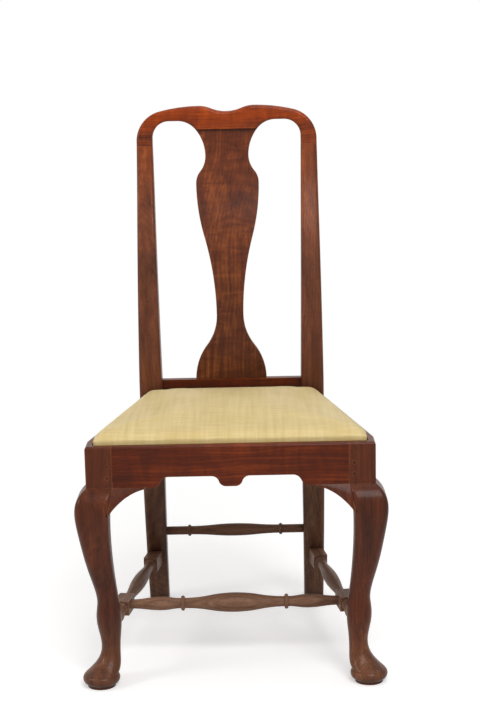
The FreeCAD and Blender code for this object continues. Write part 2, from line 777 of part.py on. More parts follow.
def build_front_rail(tools):
    """The front rail, with its arched lower edge and the drop in the middle."""
    body = new_body("front_rail")
    arch = f"({RAIL_BOTTOM} + dims.arch_rise)"
    outline = Outline(body, "front_rail_face", "XZ_Plane", ("0", "0", minus(FRONT_Y)))
    middle = ("0", RAIL_BOTTOM)
    run = [
        line("dims.pendant_tip", RAIL_BOTTOM),
        *ogee(("dims.pendant_tip", RAIL_BOTTOM), ("dims.pendant_half", arch), EVEN, upright=False),
        line("dims.arch_half", arch),
        *ogee(("dims.arch_half", arch), ("dims.arch_end", RAIL_BOTTOM), EVEN, upright=False),
        line(LEG_IN, RAIL_BOTTOM),
        line(LEG_IN, "dims.seat_height"),
    ]
    outline.loop(middle, *run, *other_half(middle, run))
    pad(body, outline, "dims.rail_thickness", reverse=True)
    rear = f"({FRONT_Y} + dims.rail_thickness)"
    last = plan_cut(body, "front_rebate",
                    rectangle(minus(FRONT_HALF), FRONT_HALF, f"({FRONT_Y} + dims.lip_width)",
                              f"({rear} + dims.lip_width)"),
                    "dims.seat_height", "dims.rebate_depth")
    top, front = num("dims.seat_height"), num(FRONT_Y)

    def outer_lip(edge):
        box = edge.BoundBox
        return box.ZMin > top - 0.01 and abs(box.YMax - front) < 0.01

    round_edges(body, last, "front_lip_round", "dims.lip_round", outer_lip)
    for name, points in (("right", front_rail_tenon()),
                         ("left", [(minus(x), y) for x, y in front_rail_tenon()])):
        plan_pad(body, f"front_rail_{name}_tenon", points, f"({TENON_TOP} - dims.tenon_height)",
                 "dims.tenon_height")
    return cut("front_rail", body, *tools)


def build_side_rail(tools):
    """The right-hand side rail, splayed from the back post out to the front leg."""
    body = new_body("side_rail")
    inner = "dims.rail_thickness"
    points = [
        (side_line("0", LEG_REAR), LEG_REAR),
        (side_line("0", POST_FRONT), POST_FRONT),
        (side_line(inner, POST_FRONT), POST_FRONT),
        (side_line(inner, LEG_REAR), LEG_REAR),
    ]
    plan_pad(body, "side_rail_plan", points, RAIL_BOTTOM, "dims.rail_height")
    start, end = f"({LEG_REAR} + dims.side_arch_margin)", f"({POST_FRONT} - dims.side_arch_margin)"
    arch = f"({RAIL_BOTTOM} + dims.side_arch_rise)"
    under = f"({RAIL_BOTTOM} - dims.rail_height)"
    first, second = f"({start} + dims.side_arch_run)", f"({end} - dims.side_arch_run)"
    outline = Outline(body, "side_arch", "YZ_Plane")
    outline.loop(
        (start, RAIL_BOTTOM),
        *ogee((start, RAIL_BOTTOM), (first, arch), EVEN, upright=False),
        line(second, arch),
        *ogee((second, arch), (end, RAIL_BOTTOM), EVEN, upright=False),
        line(end, under),
        line(start, under),
    )
    pocket(body, outline)
    lip = "dims.lip_width"
    beyond = f"({POST_FRONT} + dims.post_depth)"
    before = f"({LEG_REAR} - dims.leg_post)"
    wide = "(dims.rail_thickness + dims.lip_width)"
    last = plan_cut(body, "side_rebate", [
        (side_line(lip, before), before), (side_line(lip, beyond), beyond),
        (side_line(wide, beyond), beyond), (side_line(wide, before), before),
    ], "dims.seat_height", "dims.rebate_depth")
    top = num("dims.seat_height")
    face = [num(side_line("0", LEG_REAR)), num(side_line("0", POST_FRONT))]

    def outer_lip(edge):
        box = edge.BoundBox
        return box.ZMin > top - 0.01 and abs(box.XMax - face[0]) < 0.01 and abs(box.XMin - face[1]) < 0.01

    round_edges(body, last, "side_lip_round", "dims.lip_round", outer_lip)
    low = f"({TENON_TOP} - dims.tenon_height)"
    root = "dims.tenon_thickness"
    for name, tenon, shoulder, inwards in (
        ("front", side_rail_front_tenon(), LEG_REAR, f"({LEG_REAR} + {root})"),
        ("rear", side_rail_rear_tenon(), POST_FRONT, f"({POST_FRONT} - {root})"),
    ):
        points = [(x, inwards if y == shoulder else y) for x, y in tenon]
        plan_pad(body, f"side_rail_{name}_tenon", points, low, "dims.tenon_height")
    return cut("side_rail", body, *tools)


def build_rear_rail(tools):
    """The rear rail between the back posts, which carries the shoe and the seat's rear edge."""
    body = new_body("rear_rail")
    plan_pad(body, "rear_rail_plan", rectangle(minus(POST_IN), POST_IN, POST_FRONT, POST_BACK), RAIL_BOTTOM,
             "(dims.rail_height - dims.rebate_depth)")
    low = f"({TENON_TOP} - dims.tenon_height)"
    plan_pad(body, "rear_rail_right_tenon", rear_rail_tenon(), low, "dims.tenon_height")
    plan_pad(body, "rear_rail_left_tenon", [(minus(x), y) for x, y in rear_rail_tenon()], low,
             "dims.tenon_height")
    return cut("rear_rail", body, *tools)


# Shoe, splat and crest rail

def shoe_nails():
    """Two nails down through the shoe into the rear rail."""
    y = f"({SHOE_FRONT} + dims.shoe_foot_depth - dims.nail_diameter * 2)"
    top = f"({REBATE_Z} + dims.shoe_foot_height - dims.shoe_nail_length)"
    return [
        rod(f"shoe_nail_{side}", "dims.nail_diameter", "dims.shoe_nail_length",
            (f"({sign}1 * dims.shoe_nail_half)", y, top), *ALONG_Z)
        for side, sign in (("right", ""), ("left", "-"))
    ]


def splat_foot():
    """Plan of the splat's lower tongue."""
    half = "(dims.splat_base_half - dims.tongue_inset)"
    thick = "(dims.tongue_thickness / 2)"
    return rectangle(minus(half), half, f"({POST_MID} - {thick})", f"({POST_MID} + {thick})")


def splat_head():
    """Plan of the splat's upper tongue."""
    half = f"({SPLAT_JOINT_HALF} - dims.tongue_inset)"
    thick = "(dims.tongue_thickness / 2)"
    middle = sway_y(f"({SPLAT_JOINT} + dims.tongue_depth / 2)")
    return rectangle(minus(half), half, f"({middle} - {thick})", f"({middle} + {thick})")


def build_shoe(tools):
    """The coved strip on the rear rail that holds the splat's foot."""
    body = new_body("shoe")
    top_front = f"({SHOE_FRONT} + dims.shoe_cove)"
    top_back = f"({top_front} + dims.shoe_top_depth)"
    back = f"({SHOE_FRONT} + dims.shoe_foot_depth)"
    foot_top = f"({REBATE_Z} + dims.shoe_foot_height)"
    fillet = f"({BLOCK_TOP} - dims.shoe_fillet)"
    cove_rise = f"({fillet} - {foot_top})"
    cove = f"(({cove_rise} ^ 2 + dims.shoe_cove ^ 2) / (2 * dims.shoe_cove))"
    back_run = f"({back} - {top_back})"
    back_cove = f"(({cove_rise} ^ 2 + {back_run} ^ 2) / (2 * {back_run}))"
    outline = Outline(body, "shoe_profile", "YZ_Plane")
    outline.loop(
        (SHOE_FRONT, REBATE_Z),
        line(back, REBATE_Z),
        line(back, foot_top),
        arc(top_back, fillet, back_cove, -1),
        line(top_back, BLOCK_TOP),
        line(top_front, BLOCK_TOP),
        line(top_front, fillet),
        arc(SHOE_FRONT, foot_top, cove, -1),
    )
    pad(body, outline, f"(2 * {POST_IN})", side="Symmetric")
    plan_cut(body, "splat_foot_mortise", splat_foot(), BLOCK_TOP,
             "(dims.tongue_depth + dims.mortise_spare)")
    return cut("shoe", body, *tools)


def splat_side():
    """The splat's right-hand edge from the middle of its foot up to the crest rail."""
    base = ("dims.splat_base_half", BLOCK_TOP)
    waist = ("dims.splat_waist_half", SPLAT_WAIST)
    belly = ("dims.splat_body_half", SPLAT_BODY)
    neck = ("dims.splat_neck_half", NECK_HEIGHT)
    return [
        line(*base),
        *ogee(base, waist, "dims.base_share"),
        *ogee(waist, belly, "(1 - dims.taper_share)"),
        *ogee(belly, neck, "(1 - dims.neck_share)"),
        arc(SPLAT_JOINT_HALF, SPLAT_JOINT, "dims.throat_radius", -1),
    ]


def build_splat():
    """The vase-shaped splat, bent to the back's curve, with a tongue at each end."""
    body = new_body("splat")
    back_board(body, "dims.splat_thickness", BLOCK_TOP, "(dims.splat_base_half + dims.splat_neck_half)")
    middle = ("0", BLOCK_TOP)
    keep_inside(body, "splat_front", middle, *splat_side(), *other_half(middle, splat_side()))
    plan_pad(body, "splat_foot", splat_foot(), f"({BLOCK_TOP} - dims.tongue_depth)",
             "(dims.tongue_depth + dims.splat_thickness)")
    plan_pad(body, "splat_head", splat_head(), f"({SPLAT_JOINT} - dims.tongue_depth / 4)",
             "(dims.tongue_depth * 5 / 4)")
    return body


def crest_side():
    """Crest outline from the middle of the saddle, over hump and shoulder, to the splat."""
    hump = ("dims.hump_half", "dims.crest_height")
    turn = "dims.shoulder_turn"
    run = "(dims.shoulder_half - dims.hump_half)"
    slope = f"(({run} - dims.shoulder_radius * (1 - sin({turn}))) / sin({turn}))"
    shoulder = (
        f"(dims.hump_half + {slope} * sin({turn}))",
        f"(dims.crest_height - {slope} * (1 - cos({turn})))",
    )
    side = ("dims.shoulder_half", f"({shoulder[1]} - dims.shoulder_radius * cos({turn}))")
    corner = f"({SHOULDER_IN} - dims.arch_corner)"
    return [
        *ogee(("0", SADDLE), hump, "dims.saddle_share", upright=False),
        arc(*shoulder, slope, -1),
        arc(*side, "dims.shoulder_radius", -1),
        line("dims.shoulder_half", CREST_JOINT),
        line(SHOULDER_IN, CREST_JOINT),
        line(SHOULDER_IN, f"({ARCH_TOP} - dims.arch_corner)"),
        arc(corner, ARCH_TOP, "dims.arch_corner", 1),
        line(ARCH_PEAK_HALF, ARCH_TOP),
        arc(SPLAT_JOINT_HALF, SPLAT_JOINT, "dims.opening_radius", 1),
    ]


def build_crest_rail(tools):
    """The yoke-shaped crest rail with a saddle between two humps and rounded shoulders."""
    body = new_body("crest_rail")
    half = "(dims.shoulder_half + dims.crest_thickness)"
    back_board(body, "dims.crest_thickness", BLOCK_TOP, half)
    middle = ("0", SADDLE)
    sawn = keep_inside(body, "crest_front", middle, *crest_side(), *other_half(middle, crest_side()))
    joint, splat = num(CREST_JOINT), num(SPLAT_JOINT)

    def on_face(edge):
        box = edge.BoundBox
        flat_ends = box.ZLength < 0.01 and (abs(box.ZMin - joint) < 0.1 or abs(box.ZMin - splat) < 0.1)
        across = box.YLength > box.XLength and box.YLength > box.ZLength
        return not flat_ends and not across

    round_edges(body, sawn, "crest_round", "dims.post_round", on_face)
    spare = "(dims.crest_tenon_height + dims.mortise_spare)"
    top = f"({CREST_JOINT} + {spare})"
    plan_cut(body, "crest_right_mortise", crest_tenon(), top, spare)
    plan_cut(body, "crest_left_mortise", [(minus(x), y) for x, y in crest_tenon()], top, spare)
    groove = "(dims.tongue_depth + dims.mortise_spare)"
    plan_cut(body, "splat_head_mortise", splat_head(), f"({SPLAT_JOINT} + {groove})", groove)
    return cut("crest_rail", body, *tools)


def crest_pins():
    """A pin from behind through each post's tenon in the crest rail."""
    height = f"({CREST_JOINT} + dims.crest_tenon_height / 2)"
    x = "(dims.shoulder_half - dims.shoulder_width / 2)"
    length = "(dims.crest_thickness * 3 / 4)"
    y = f"({sway_y(height)} + dims.crest_thickness / 2 - {length} + dims.pin_proud)"
    return [
        rod(f"crest_pin_{side}", "dims.pin_diameter", length, (f"({sign}1 * {x})", y, height), *ALONG_Y)
        for side, sign in (("right", ""), ("left", "-"))
    ]


# Knee brackets

def build_bracket_blank(name, place, angle):
    """A bracket that runs along +X from a leg and faces -Y, turned about Z into place."""
    body = new_body(name)
    stations = (
        (minus("(dims.bracket_swell / 2)"), "(dims.bracket_drop + dims.bracket_tip * 2)",
         "dims.bracket_swell"),
        ("(dims.bracket_length / 3)", "(dims.bracket_drop * dims.bracket_mid_drop)",
         "(dims.bracket_swell * dims.bracket_mid_swell)"),
        ("dims.bracket_length", "dims.bracket_tip", "(dims.bracket_tip / 5)"),
    )
    sketches = []
    for number, (reach, drop, swell) in enumerate(stations):
        outline = Outline(body, f"{name}_section_{number}", "YZ_Plane", ("0", RAIL_BOTTOM, reach))
        radius = f"(({swell} ^ 2 + {drop} ^ 2) / {swell})"
        outline.loop(
            ("dims.bracket_depth", "0"),
            line("0", "0"),
            arc(minus(swell), minus(drop), radius, 1),
            line("dims.bracket_depth", minus(drop)),
        )
        sketches.append(outline.sketch)
    loft = body.newObject("PartDesign::AdditiveLoft", f"{name}_loft")
    loft.Profile = sketches[0]
    loft.Sections = sketches[1:]
    body.Placement.Rotation = FreeCAD.Rotation(Vector(0, 0, 1), 0)
    body.setExpression("Placement.Base.x", place[0])
    body.setExpression("Placement.Base.y", place[1])
    if angle is not None:
        body.setExpression("Placement.Rotation.Angle", angle)
    doc.recompute()
    return body


def bracket_nail(name, x, y):
    """A nail up through a bracket into the rail."""
    low = f"({RAIL_BOTTOM} - dims.bracket_nail_length / 2)"
    return rod(name, "dims.nail_diameter", "dims.bracket_nail_length", (x, y, low), *ALONG_Z)


# Stretchers

def turned(body, name, start, steps):
    """Turns a profile round the body's X axis."""
    outline = Outline(body, name, "XY_Plane")
    outline.loop(start, *steps)
    feature = body.newObject("PartDesign::Revolution", name + "_turned")
    feature.Profile = outline.sketch
    feature.ReferenceAxis = (outline.sketch, ["H_Axis"])
    feature.Angle = 360
    doc.recompute()
    return feature


def bead(start, end, radius_at, height):
    """A round ring between two places along a turning, standing proud by a height."""
    middle = f"(({start} + {end}) / 2)"
    half = f"(({end} - {start}) / 2)"
    radius = f"(({half} ^ 2 + {height} ^ 2) / (2 * {height}))"
    crown = f"({radius_at} + {height})"
    return [arc(middle, crown, radius, -1), arc(end, radius_at, radius, -1)]


STRETCHER_FRONT = (f"({FRONT_HALF} - dims.stretcher_inset)", f"({FRONT_Y} + dims.stretcher_inset)")
STRETCHER_REAR = (REAR_LEG_X, rear_leg_y("dims.stretcher_height"))
STRETCHER_RUN = (
    f"sqrt(({STRETCHER_FRONT[0]} - {STRETCHER_REAR[0]}) ^ 2"
    f" + ({STRETCHER_REAR[1]} - {STRETCHER_FRONT[1]}) ^ 2)"
)
STRETCHER_ANGLE = (
    f"90 deg + atan(({STRETCHER_FRONT[0]} - {STRETCHER_REAR[0]})"
    f" / ({STRETCHER_REAR[1]} - {STRETCHER_FRONT[1]}))"
)


def place_on_stretcher(item, along, height="dims.stretcher_height"):
    """Puts a shape that runs along its own X on the right-hand side stretcher's line."""
    ratio = f"({along} / ({STRETCHER_RUN}))"
    item.Placement.Rotation = FreeCAD.Rotation(Vector(0, 0, 1), 1)
    for axis, index in (("x", 0), ("y", 1)):
        first, last = STRETCHER_FRONT[index], STRETCHER_REAR[index]
        item.setExpression(f"Placement.Base.{axis}", f"{first} + ({last} - {first}) * {ratio}")
    item.setExpression("Placement.Base.z", height)
    item.setExpression("Placement.Rotation.Angle", STRETCHER_ANGLE)


def build_side_stretcher(tools):
    """The right-hand side stretcher: turned, with a block for the medial stretcher and one at the rear."""
    body = new_body("side_stretcher")
    neck, belly, ring, end = (
        f"(dims.stretcher_{part} / 2)" for part in ("neck", "belly", "ring", "end")
    )
    block_1 = "(dims.medial_setback - dims.medial_block_length / 2)"
    block_2 = "(dims.medial_setback + dims.medial_block_length / 2)"
    length = f"({STRETCHER_RUN})"
    block_3 = f"({length} - dims.rear_foot_depth / 2 - dims.rear_block_length)"
    rise = f"({ring} - {neck})"

    def baluster(start, stop):
        """A belly between two ringed necks."""
        first, second = f"({start} + dims.ring_length)", f"({stop} - dims.ring_length)"
        middle = f"(({start} + {stop}) / 2)"
        return [
            *bead(start, first, neck, rise),
            *ogee((first, neck), (middle, belly), EVEN, upright=False),
            *ogee((middle, belly), (second, neck), EVEN, upright=False),
            *bead(second, stop, neck, rise),
        ]

    front_ring = f"({block_1} - dims.ring_length)"
    front_belly = "(dims.leg_post / 2 + dims.medial_setback / 4)"
    steps = [
        line("0", end),
        *ogee(("0", end), (front_belly, belly), EVEN, upright=False),
        *ogee((front_belly, belly), (front_ring, neck), EVEN, upright=False),
        *bead(front_ring, block_1, neck, rise),
        line(block_2, neck),
        *baluster(block_2, block_3),
        line(length, neck),
        line(length, "0"),
    ]
    turned(body, "side_stretcher_profile", ("0", "0"), steps)
    half = "(dims.stretcher_block / 2)"
    low = f"(0 - {half})"
    for name, first, last in (("medial_block", block_1, block_2), ("rear_block", block_3, length)):
        plan_pad(body, name, rectangle(first, last, low, half), low, "dims.stretcher_block")
    place_on_stretcher(body, "0")
    doc.recompute()
    return cut("side_stretcher", body, *tools)


def medial_middle():
    """Where the medial stretcher's axis meets the right-hand side stretcher's."""
    ratio = f"(dims.medial_setback / ({STRETCHER_RUN}))"
    return tuple(f"({a} + ({b} - {a}) * {ratio})" for a, b in zip(STRETCHER_FRONT, STRETCHER_REAR))


def build_medial_stretcher(tools):
    """The swelled stretcher between the two side stretchers."""
    body = new_body("medial_stretcher")
    reach, depth = medial_middle()
    swell, neck, ring, end, vase = (
        f"(dims.medial_{part} / 2)" for part in ("swell", "neck", "ring", "end", "vase")
    )
    inner = "dims.medial_swell_half"
    outer = f"({inner} + dims.ring_length)"
    shoulder = f"({reach} - dims.stretcher_block / 2)"
    vase_at = f"({outer} + ({shoulder} - {outer}) * dims.medial_vase_share)"
    rise = f"({ring} - {neck})"
    middle = ("0", swell)
    run = [
        *ogee(middle, (inner, neck), EVEN, upright=False),
        *bead(inner, outer, neck, rise),
        *ogee((outer, neck), (vase_at, vase), EVEN, upright=False),
        *ogee((vase_at, vase), (shoulder, end), EVEN, upright=False),
        line(reach, end),
        line(reach, "0"),
    ]
    turned(body, "medial_profile", middle, run + other_half(middle, run))
    body.setExpression("Placement.Base.y", depth)
    body.setExpression("Placement.Base.z", "dims.stretcher_height")
    doc.recompute()
    return cut("medial_stretcher", body, *tools)


def build_rear_stretcher(tools):
    """The slender turned stretcher between the rear legs."""
    body = new_body("rear_stretcher")
    swell, neck, ring = (f"(dims.rear_stretcher_{part} / 2)" for part in ("swell", "neck", "ring"))
    inner = "dims.rear_stretcher_ring_half"
    outer = f"({inner} + dims.ring_length)"
    rise = f"({ring} - {neck})"
    reach = REAR_LEG_X
    middle = ("0", swell)
    run = [
        *ogee(middle, (inner, neck), EVEN, upright=False),
        *bead(inner, outer, neck, rise),
        line(reach, neck),
        line(reach, "0"),
    ]
    turned(body, "rear_stretcher_profile", middle, run + other_half(middle, run))
    body.setExpression("Placement.Base.y", rear_leg_y("dims.rear_stretcher_height"))
    body.setExpression("Placement.Base.z", "dims.rear_stretcher_height")
    doc.recompute()
    return cut("rear_stretcher", body, *tools)


def stretcher_socket(name, along, length):
    """The round hole for a tenon of the right-hand side stretcher, from a place along it."""
    body = new_body(name)
    radius = "(dims.stretcher_tenon / 2)"
    turned(body, name + "_profile", ("0", "0"), [line("0", radius), line(length, radius), line(length, "0")])
    place_on_stretcher(body, along)
    doc.recompute()
    return body


def cross_socket(name, reach, depth, height):
    """The round hole for a right-hand tenon of a stretcher that runs along X."""
    length = "(dims.leg_post + dims.mortise_spare)"
    return rod(name, "dims.stretcher_tenon", length, (f"({reach} - dims.leg_post)", depth, height), *ALONG_X)


# Corner blocks

def build_corner_block():
    """The right-hand glue block behind the front leg's post."""
    body = new_body("corner_block")
    rail_rear = f"({FRONT_Y} + dims.rail_thickness)"
    end_y = f"({LEG_REAR} + dims.corner_block_leg)"
    points = [
        (f"({LEG_IN} - dims.corner_block_leg)", rail_rear),
        (LEG_IN, rail_rear),
        (LEG_IN, LEG_REAR),
        (side_line("dims.rail_thickness", LEG_REAR), LEG_REAR),
        (side_line("dims.rail_thickness", end_y), end_y),
    ]
    low = f"({REBATE_Z} - dims.corner_block_drop - dims.corner_block_height)"
    plan_pad(body, "corner_block_plan", points, low, "dims.corner_block_height")
    return body


# Slip seat

SEAT_REST = f"({REBATE_Z} + dims.rest_gap)"
FRAME_LOW = f"({SEAT_REST} + dims.cover_thickness)"
FRAME_TOP = f"({FRAME_LOW} + dims.board_thickness)"
WEBBING_TOP = f"({FRAME_TOP} + 2 * dims.webbing_thickness)"
LINEN_TOP = f"({WEBBING_TOP} + dims.linen_thickness)"
STUFFING_TOP = f"({LINEN_TOP} + dims.stuffing_height)"
CORE_INSET = "(dims.seat_gap + dims.cover_thickness)"
CORE_FRONT = f"({FRONT_Y} + dims.lip_width + {CORE_INSET})"
CORE_SIDE = f"(dims.lip_width + {CORE_INSET})"
CORE_REAR = f"({SHOE_FRONT} - {CORE_INSET})"
BOARD_FRONT = f"({CORE_FRONT} + dims.board_width)"
BOARD_REAR = f"({CORE_REAR} - dims.board_width)"


def seat_run(inset):
    """Right-hand half of the slip seat's plan, inset from the walls of its well."""
    side = f"(dims.lip_width + {inset})"
    notch = f"({POST_FRONT} - {inset})"
    inner = f"({POST_IN} - {inset})"
    return [
        (side_line(side, LEG_REAR), f"({FRONT_Y} + dims.lip_width + {inset})"),
        (side_line(side, LEG_REAR), LEG_REAR),
        (side_line(side, notch), notch),
        (inner, notch),
        (inner, f"({SHOE_FRONT} - {inset})"),
    ]


def board_tenon(shoulder, into, overlap, spare="0"):
    """Plan of a side board's right-hand tenon at a shoulder, towards the front or the rear."""
    left = side_line(f"({CORE_SIDE} + dims.board_width - dims.board_tenon_margin)", shoulder)
    right = side_line(f"({CORE_SIDE} + dims.board_tenon_margin)", shoulder)
    near = f"({shoulder} - {into} * {overlap})"
    far = f"({shoulder} + {into} * (dims.board_tenon + {spare}))"
    return rectangle(left, right, near, far)


TENON_LOW = f"({FRAME_LOW} + (dims.board_thickness - dims.board_tenon_thickness) / 2)"
TENON_HIGH = f"({TENON_LOW} + dims.board_tenon_thickness)"


def build_seat_board(name, points, shoulder, into, tools):
    """A front or rear board of the seat frame, with mortises for the two side boards."""
    body = new_body(name)
    plan_pad(body, name + "_plan", both_halves(points), FRAME_LOW, "dims.board_thickness")
    mortise = board_tenon(shoulder, into, "0", "dims.mortise_spare")
    for side, outline in (("right", mortise), ("left", [(minus(x), y) for x, y in mortise])):
        plan_cut(body, f"{name}_{side}_mortise", outline, TENON_HIGH, "dims.board_tenon_thickness")
    return cut(name, body, *tools)


def build_seat_side(tools):
    """The right-hand board of the seat frame."""
    body = new_body("seat_side_board")
    wide = f"({CORE_SIDE} + dims.board_width)"
    plan_pad(body, "seat_side_plan", [
        (side_line(CORE_SIDE, BOARD_FRONT), BOARD_FRONT), (side_line(CORE_SIDE, BOARD_REAR), BOARD_REAR),
        (side_line(wide, BOARD_REAR), BOARD_REAR), (side_line(wide, BOARD_FRONT), BOARD_FRONT),
    ], FRAME_LOW, "dims.board_thickness")
    for name, shoulder, into in (("front", BOARD_FRONT, -1), ("rear", BOARD_REAR, 1)):
        tenon = board_tenon(shoulder, into, "dims.board_tenon_margin / 2")
        plan_pad(body, f"seat_side_{name}_tenon", tenon, TENON_LOW, "dims.board_tenon_thickness")
    return cut("seat_side", body, *tools)


def tack(name, x, y):
    """A tack driven up into the frame, its head under the turned-in cover."""
    head = rod(name + "_head", "dims.tack_head", "dims.tack_head_height",
               (x, y, f"({SEAT_REST} - dims.tack_head_height)"), *ALONG_Z)
    shank = rod(name + "_shank", "dims.tack_shank", "dims.tack_length",
                (x, y, f"({SEAT_REST} - dims.tack_head_height / 2)"), *ALONG_Z)
    whole = doc.addObject("Part::Fuse", name)
    whole.Base = head
    whole.Tool = shank
    return whole


# Tacks along half of the front and the rear board, and along a side board
FRONT_TACKS = 4
REAR_TACKS = 3
SIDE_TACKS = 5


def right_tacks():
    """The tacks of the seat frame's right-hand half."""
    made = []
    front = f"({CORE_FRONT} + dims.tack_inset)"
    rear = f"({CORE_REAR} - dims.tack_inset)"
    inset = f"({CORE_SIDE} + dims.tack_inset)"
    for number in range(FRONT_TACKS):
        made.append(tack(f"front_tack_{number}", f"(dims.tack_pitch * {number + 0.5})", front))
    for number in range(REAR_TACKS):
        made.append(tack(f"rear_tack_{number}", f"(dims.tack_pitch * {number + 0.5})", rear))
    for number in range(SIDE_TACKS):
        y = f"({BOARD_FRONT} + dims.tack_pitch * {number + 0.5})"
        made.append(tack(f"side_tack_{number}", side_line(inset, y), y))
    return made


WEBBING_MIDDLE = f"(({CORE_FRONT} + {CORE_REAR}) / 2)"


def build_lengthwise_webbing():
    """Three strips from the front board to the rear board."""
    strips = []
    near = f"({CORE_FRONT} + dims.webbing_margin)"
    far = f"({POST_FRONT} - {CORE_INSET} - dims.webbing_margin)"
    for number in (-1, 0, 1):
        body = new_body(f"lengthwise_{number + 1}")
        left = f"(dims.webbing_pitch * {number} - dims.webbing_width / 2)"
        right = f"(dims.webbing_pitch * {number} + dims.webbing_width / 2)"
        plan_pad(body, f"lengthwise_plan_{number + 1}", rectangle(left, right, near, far), FRAME_TOP,
                 "dims.webbing_thickness")
        strips.append(body)
    return group("lengthwise_strips", strips)


def build_crosswise_webbing():
    """Three strips across the seat, over the lengthwise ones."""
    strips = []
    for number in (-1, 0, 1):
        body = new_body(f"crosswise_{number + 1}")
        near = f"({WEBBING_MIDDLE} + dims.webbing_pitch * {number} - dims.webbing_width / 2)"
        far = f"({WEBBING_MIDDLE} + dims.webbing_pitch * {number} + dims.webbing_width / 2)"
        inset = f"({CORE_SIDE} + dims.webbing_margin)"
        points = both_halves([(side_line(inset, near), near), (side_line(inset, far), far)])
        plan_pad(body, f"crosswise_plan_{number + 1}", points,
                 f"({FRAME_TOP} + dims.webbing_thickness)", "dims.webbing_thickness")
        strips.append(body)
    return group("crosswise_strips", strips)


def padded_block(name, inset, low, high, radius):
    """A block in the seat's plan, with rounded top edges along the front and the sides."""
    body = new_body(name)
    block = plan_pad(body, name + "_plan", both_halves(seat_run(inset)), low, f"({high} - {low})")
    top, rear = num(high), num(POST_FRONT) - num(inset)

    def front_and_sides(edge):
        box = edge.BoundBox
        on_top = box.ZMin > top - 0.01
        at_rear = box.YMin > rear - 0.01
        return on_top and not at_rear

    round_edges(body, block, name + "_round", radius, front_and_sides)
    return body


def build_cover(tools):
    """The cover: a skin over stuffing and frame, turned in underneath."""
    outer = padded_block("cover_outside", "dims.seat_gap", SEAT_REST,
                         f"({STUFFING_TOP} + dims.cover_thickness)",
                         "(dims.stuffing_round + dims.cover_thickness)")
    inner = padded_block("cover_inside", CORE_INSET, FRAME_LOW, STUFFING_TOP, "dims.stuffing_round")
    opening = new_body("cover_opening")
    near, far = f"({CORE_FRONT} + dims.cover_turn)", f"({CORE_REAR} - dims.cover_turn)"
    inset = f"({CORE_SIDE} + dims.cover_turn)"
    points = both_halves([(side_line(inset, near), near), (side_line(inset, far), far)])
    plan_pad(opening, "cover_opening_plan", points, REBATE_Z, "dims.board_thickness")
    return cut("cover", outer, inner, opening, *tools)


# The whole chair

def build_chair():
    """Builds every piece, the right-hand ones first and the left-hand ones as their twins."""
    back_pins = group("right_back_pins", back_post_pins())
    leg_pins = group("right_leg_pins", front_leg_pins())
    other_back_pins = mirror("left_back_pins", back_pins)
    other_leg_pins = mirror("left_leg_pins", leg_pins)
    crest = crest_pins()
    nails = shoe_nails()
    nail_setback = "(dims.bracket_depth / 2)"
    side_nail_y = f"({LEG_REAR} + dims.bracket_length / 4)"
    bracket_nails = [
        bracket_nail("front_bracket_nail", minus(f"({LEG_IN} - dims.bracket_length / 4)"),
                     f"({FRONT_Y} + {nail_setback})"),
        bracket_nail("side_bracket_nail", side_line(nail_setback, side_nail_y), side_nail_y),
    ]
    twin_nails = [mirror(nail.Name, nail) for nail in bracket_nails]

    hole = "(dims.leg_post * 2 / 3)"
    front_socket = stretcher_socket("front_socket", minus("dims.mortise_spare"), hole)
    rear_socket = stretcher_socket("rear_socket", f"({STRETCHER_RUN} + dims.mortise_spare - {hole})", hole)
    rear_cross = cross_socket("rear_cross_socket", REAR_LEG_X, rear_leg_y("dims.rear_stretcher_height"),
                              "dims.rear_stretcher_height")
    medial_cross = cross_socket("medial_socket", *medial_middle(), "dims.stretcher_height")

    post = finish("right_back_post", build_back_post([back_pins, crest[0], rear_socket, rear_cross]))
    other_post = finish("left_back_post", mirror("left_back_post", post))
    leg = finish("right_front_leg", build_front_leg([leg_pins, front_socket]))
    other_leg = finish("left_front_leg", mirror("left_front_leg", leg))

    finish("front_seat_rail", build_front_rail([leg_pins, other_leg_pins, bracket_nails[0], twin_nails[0]]))
    rail = finish("right_seat_rail", build_side_rail([leg_pins, back_pins, bracket_nails[1]]))
    finish("left_seat_rail", mirror("left_seat_rail", rail))
    finish("rear_seat_rail", build_rear_rail([back_pins, other_back_pins, *nails]))
    finish("shoe", build_shoe(nails))
    finish("splat", build_splat())
    finish("crest_rail", build_crest_rail(crest))

    blank = build_bracket_blank("front_bracket", (minus(LEG_IN), FRONT_Y), None)
    bracket = finish("left_front_knee_bracket", cut("front_bracket", blank, other_leg, bracket_nails[0]))
    finish("right_front_knee_bracket", mirror("front_bracket", bracket))
    blank = build_bracket_blank("side_bracket", (FRONT_HALF, LEG_REAR), f"90 deg + atan({SPLAY})")
    bracket = finish("right_side_knee_bracket", cut("side_bracket", blank, leg, bracket_nails[1]))
    finish("left_side_knee_bracket", mirror("side_bracket", bracket))

    block = finish("right_corner_block", build_corner_block())
    finish("left_corner_block", mirror("corner_block", block))

    stretcher = finish("right_side_stretcher", build_side_stretcher([leg, post, medial_cross]))
    other_stretcher = finish("left_side_stretcher", mirror("side_stretcher", stretcher))
    finish("medial_stretcher", build_medial_stretcher([stretcher, other_stretcher]))
    finish("rear_stretcher", build_rear_stretcher([post, other_post]))

    finish("front_leg_pins", group("leg_pins", [leg_pins, other_leg_pins]))
    finish("back_post_pins", group("back_pins", [back_pins, other_back_pins]))
    finish("crest_rail_pins", group("crest_pins", crest))
    finish("shoe_nails", group("shoe_nail_pair", nails))
    finish("knee_bracket_nails", group("bracket_nails", bracket_nails + twin_nails))


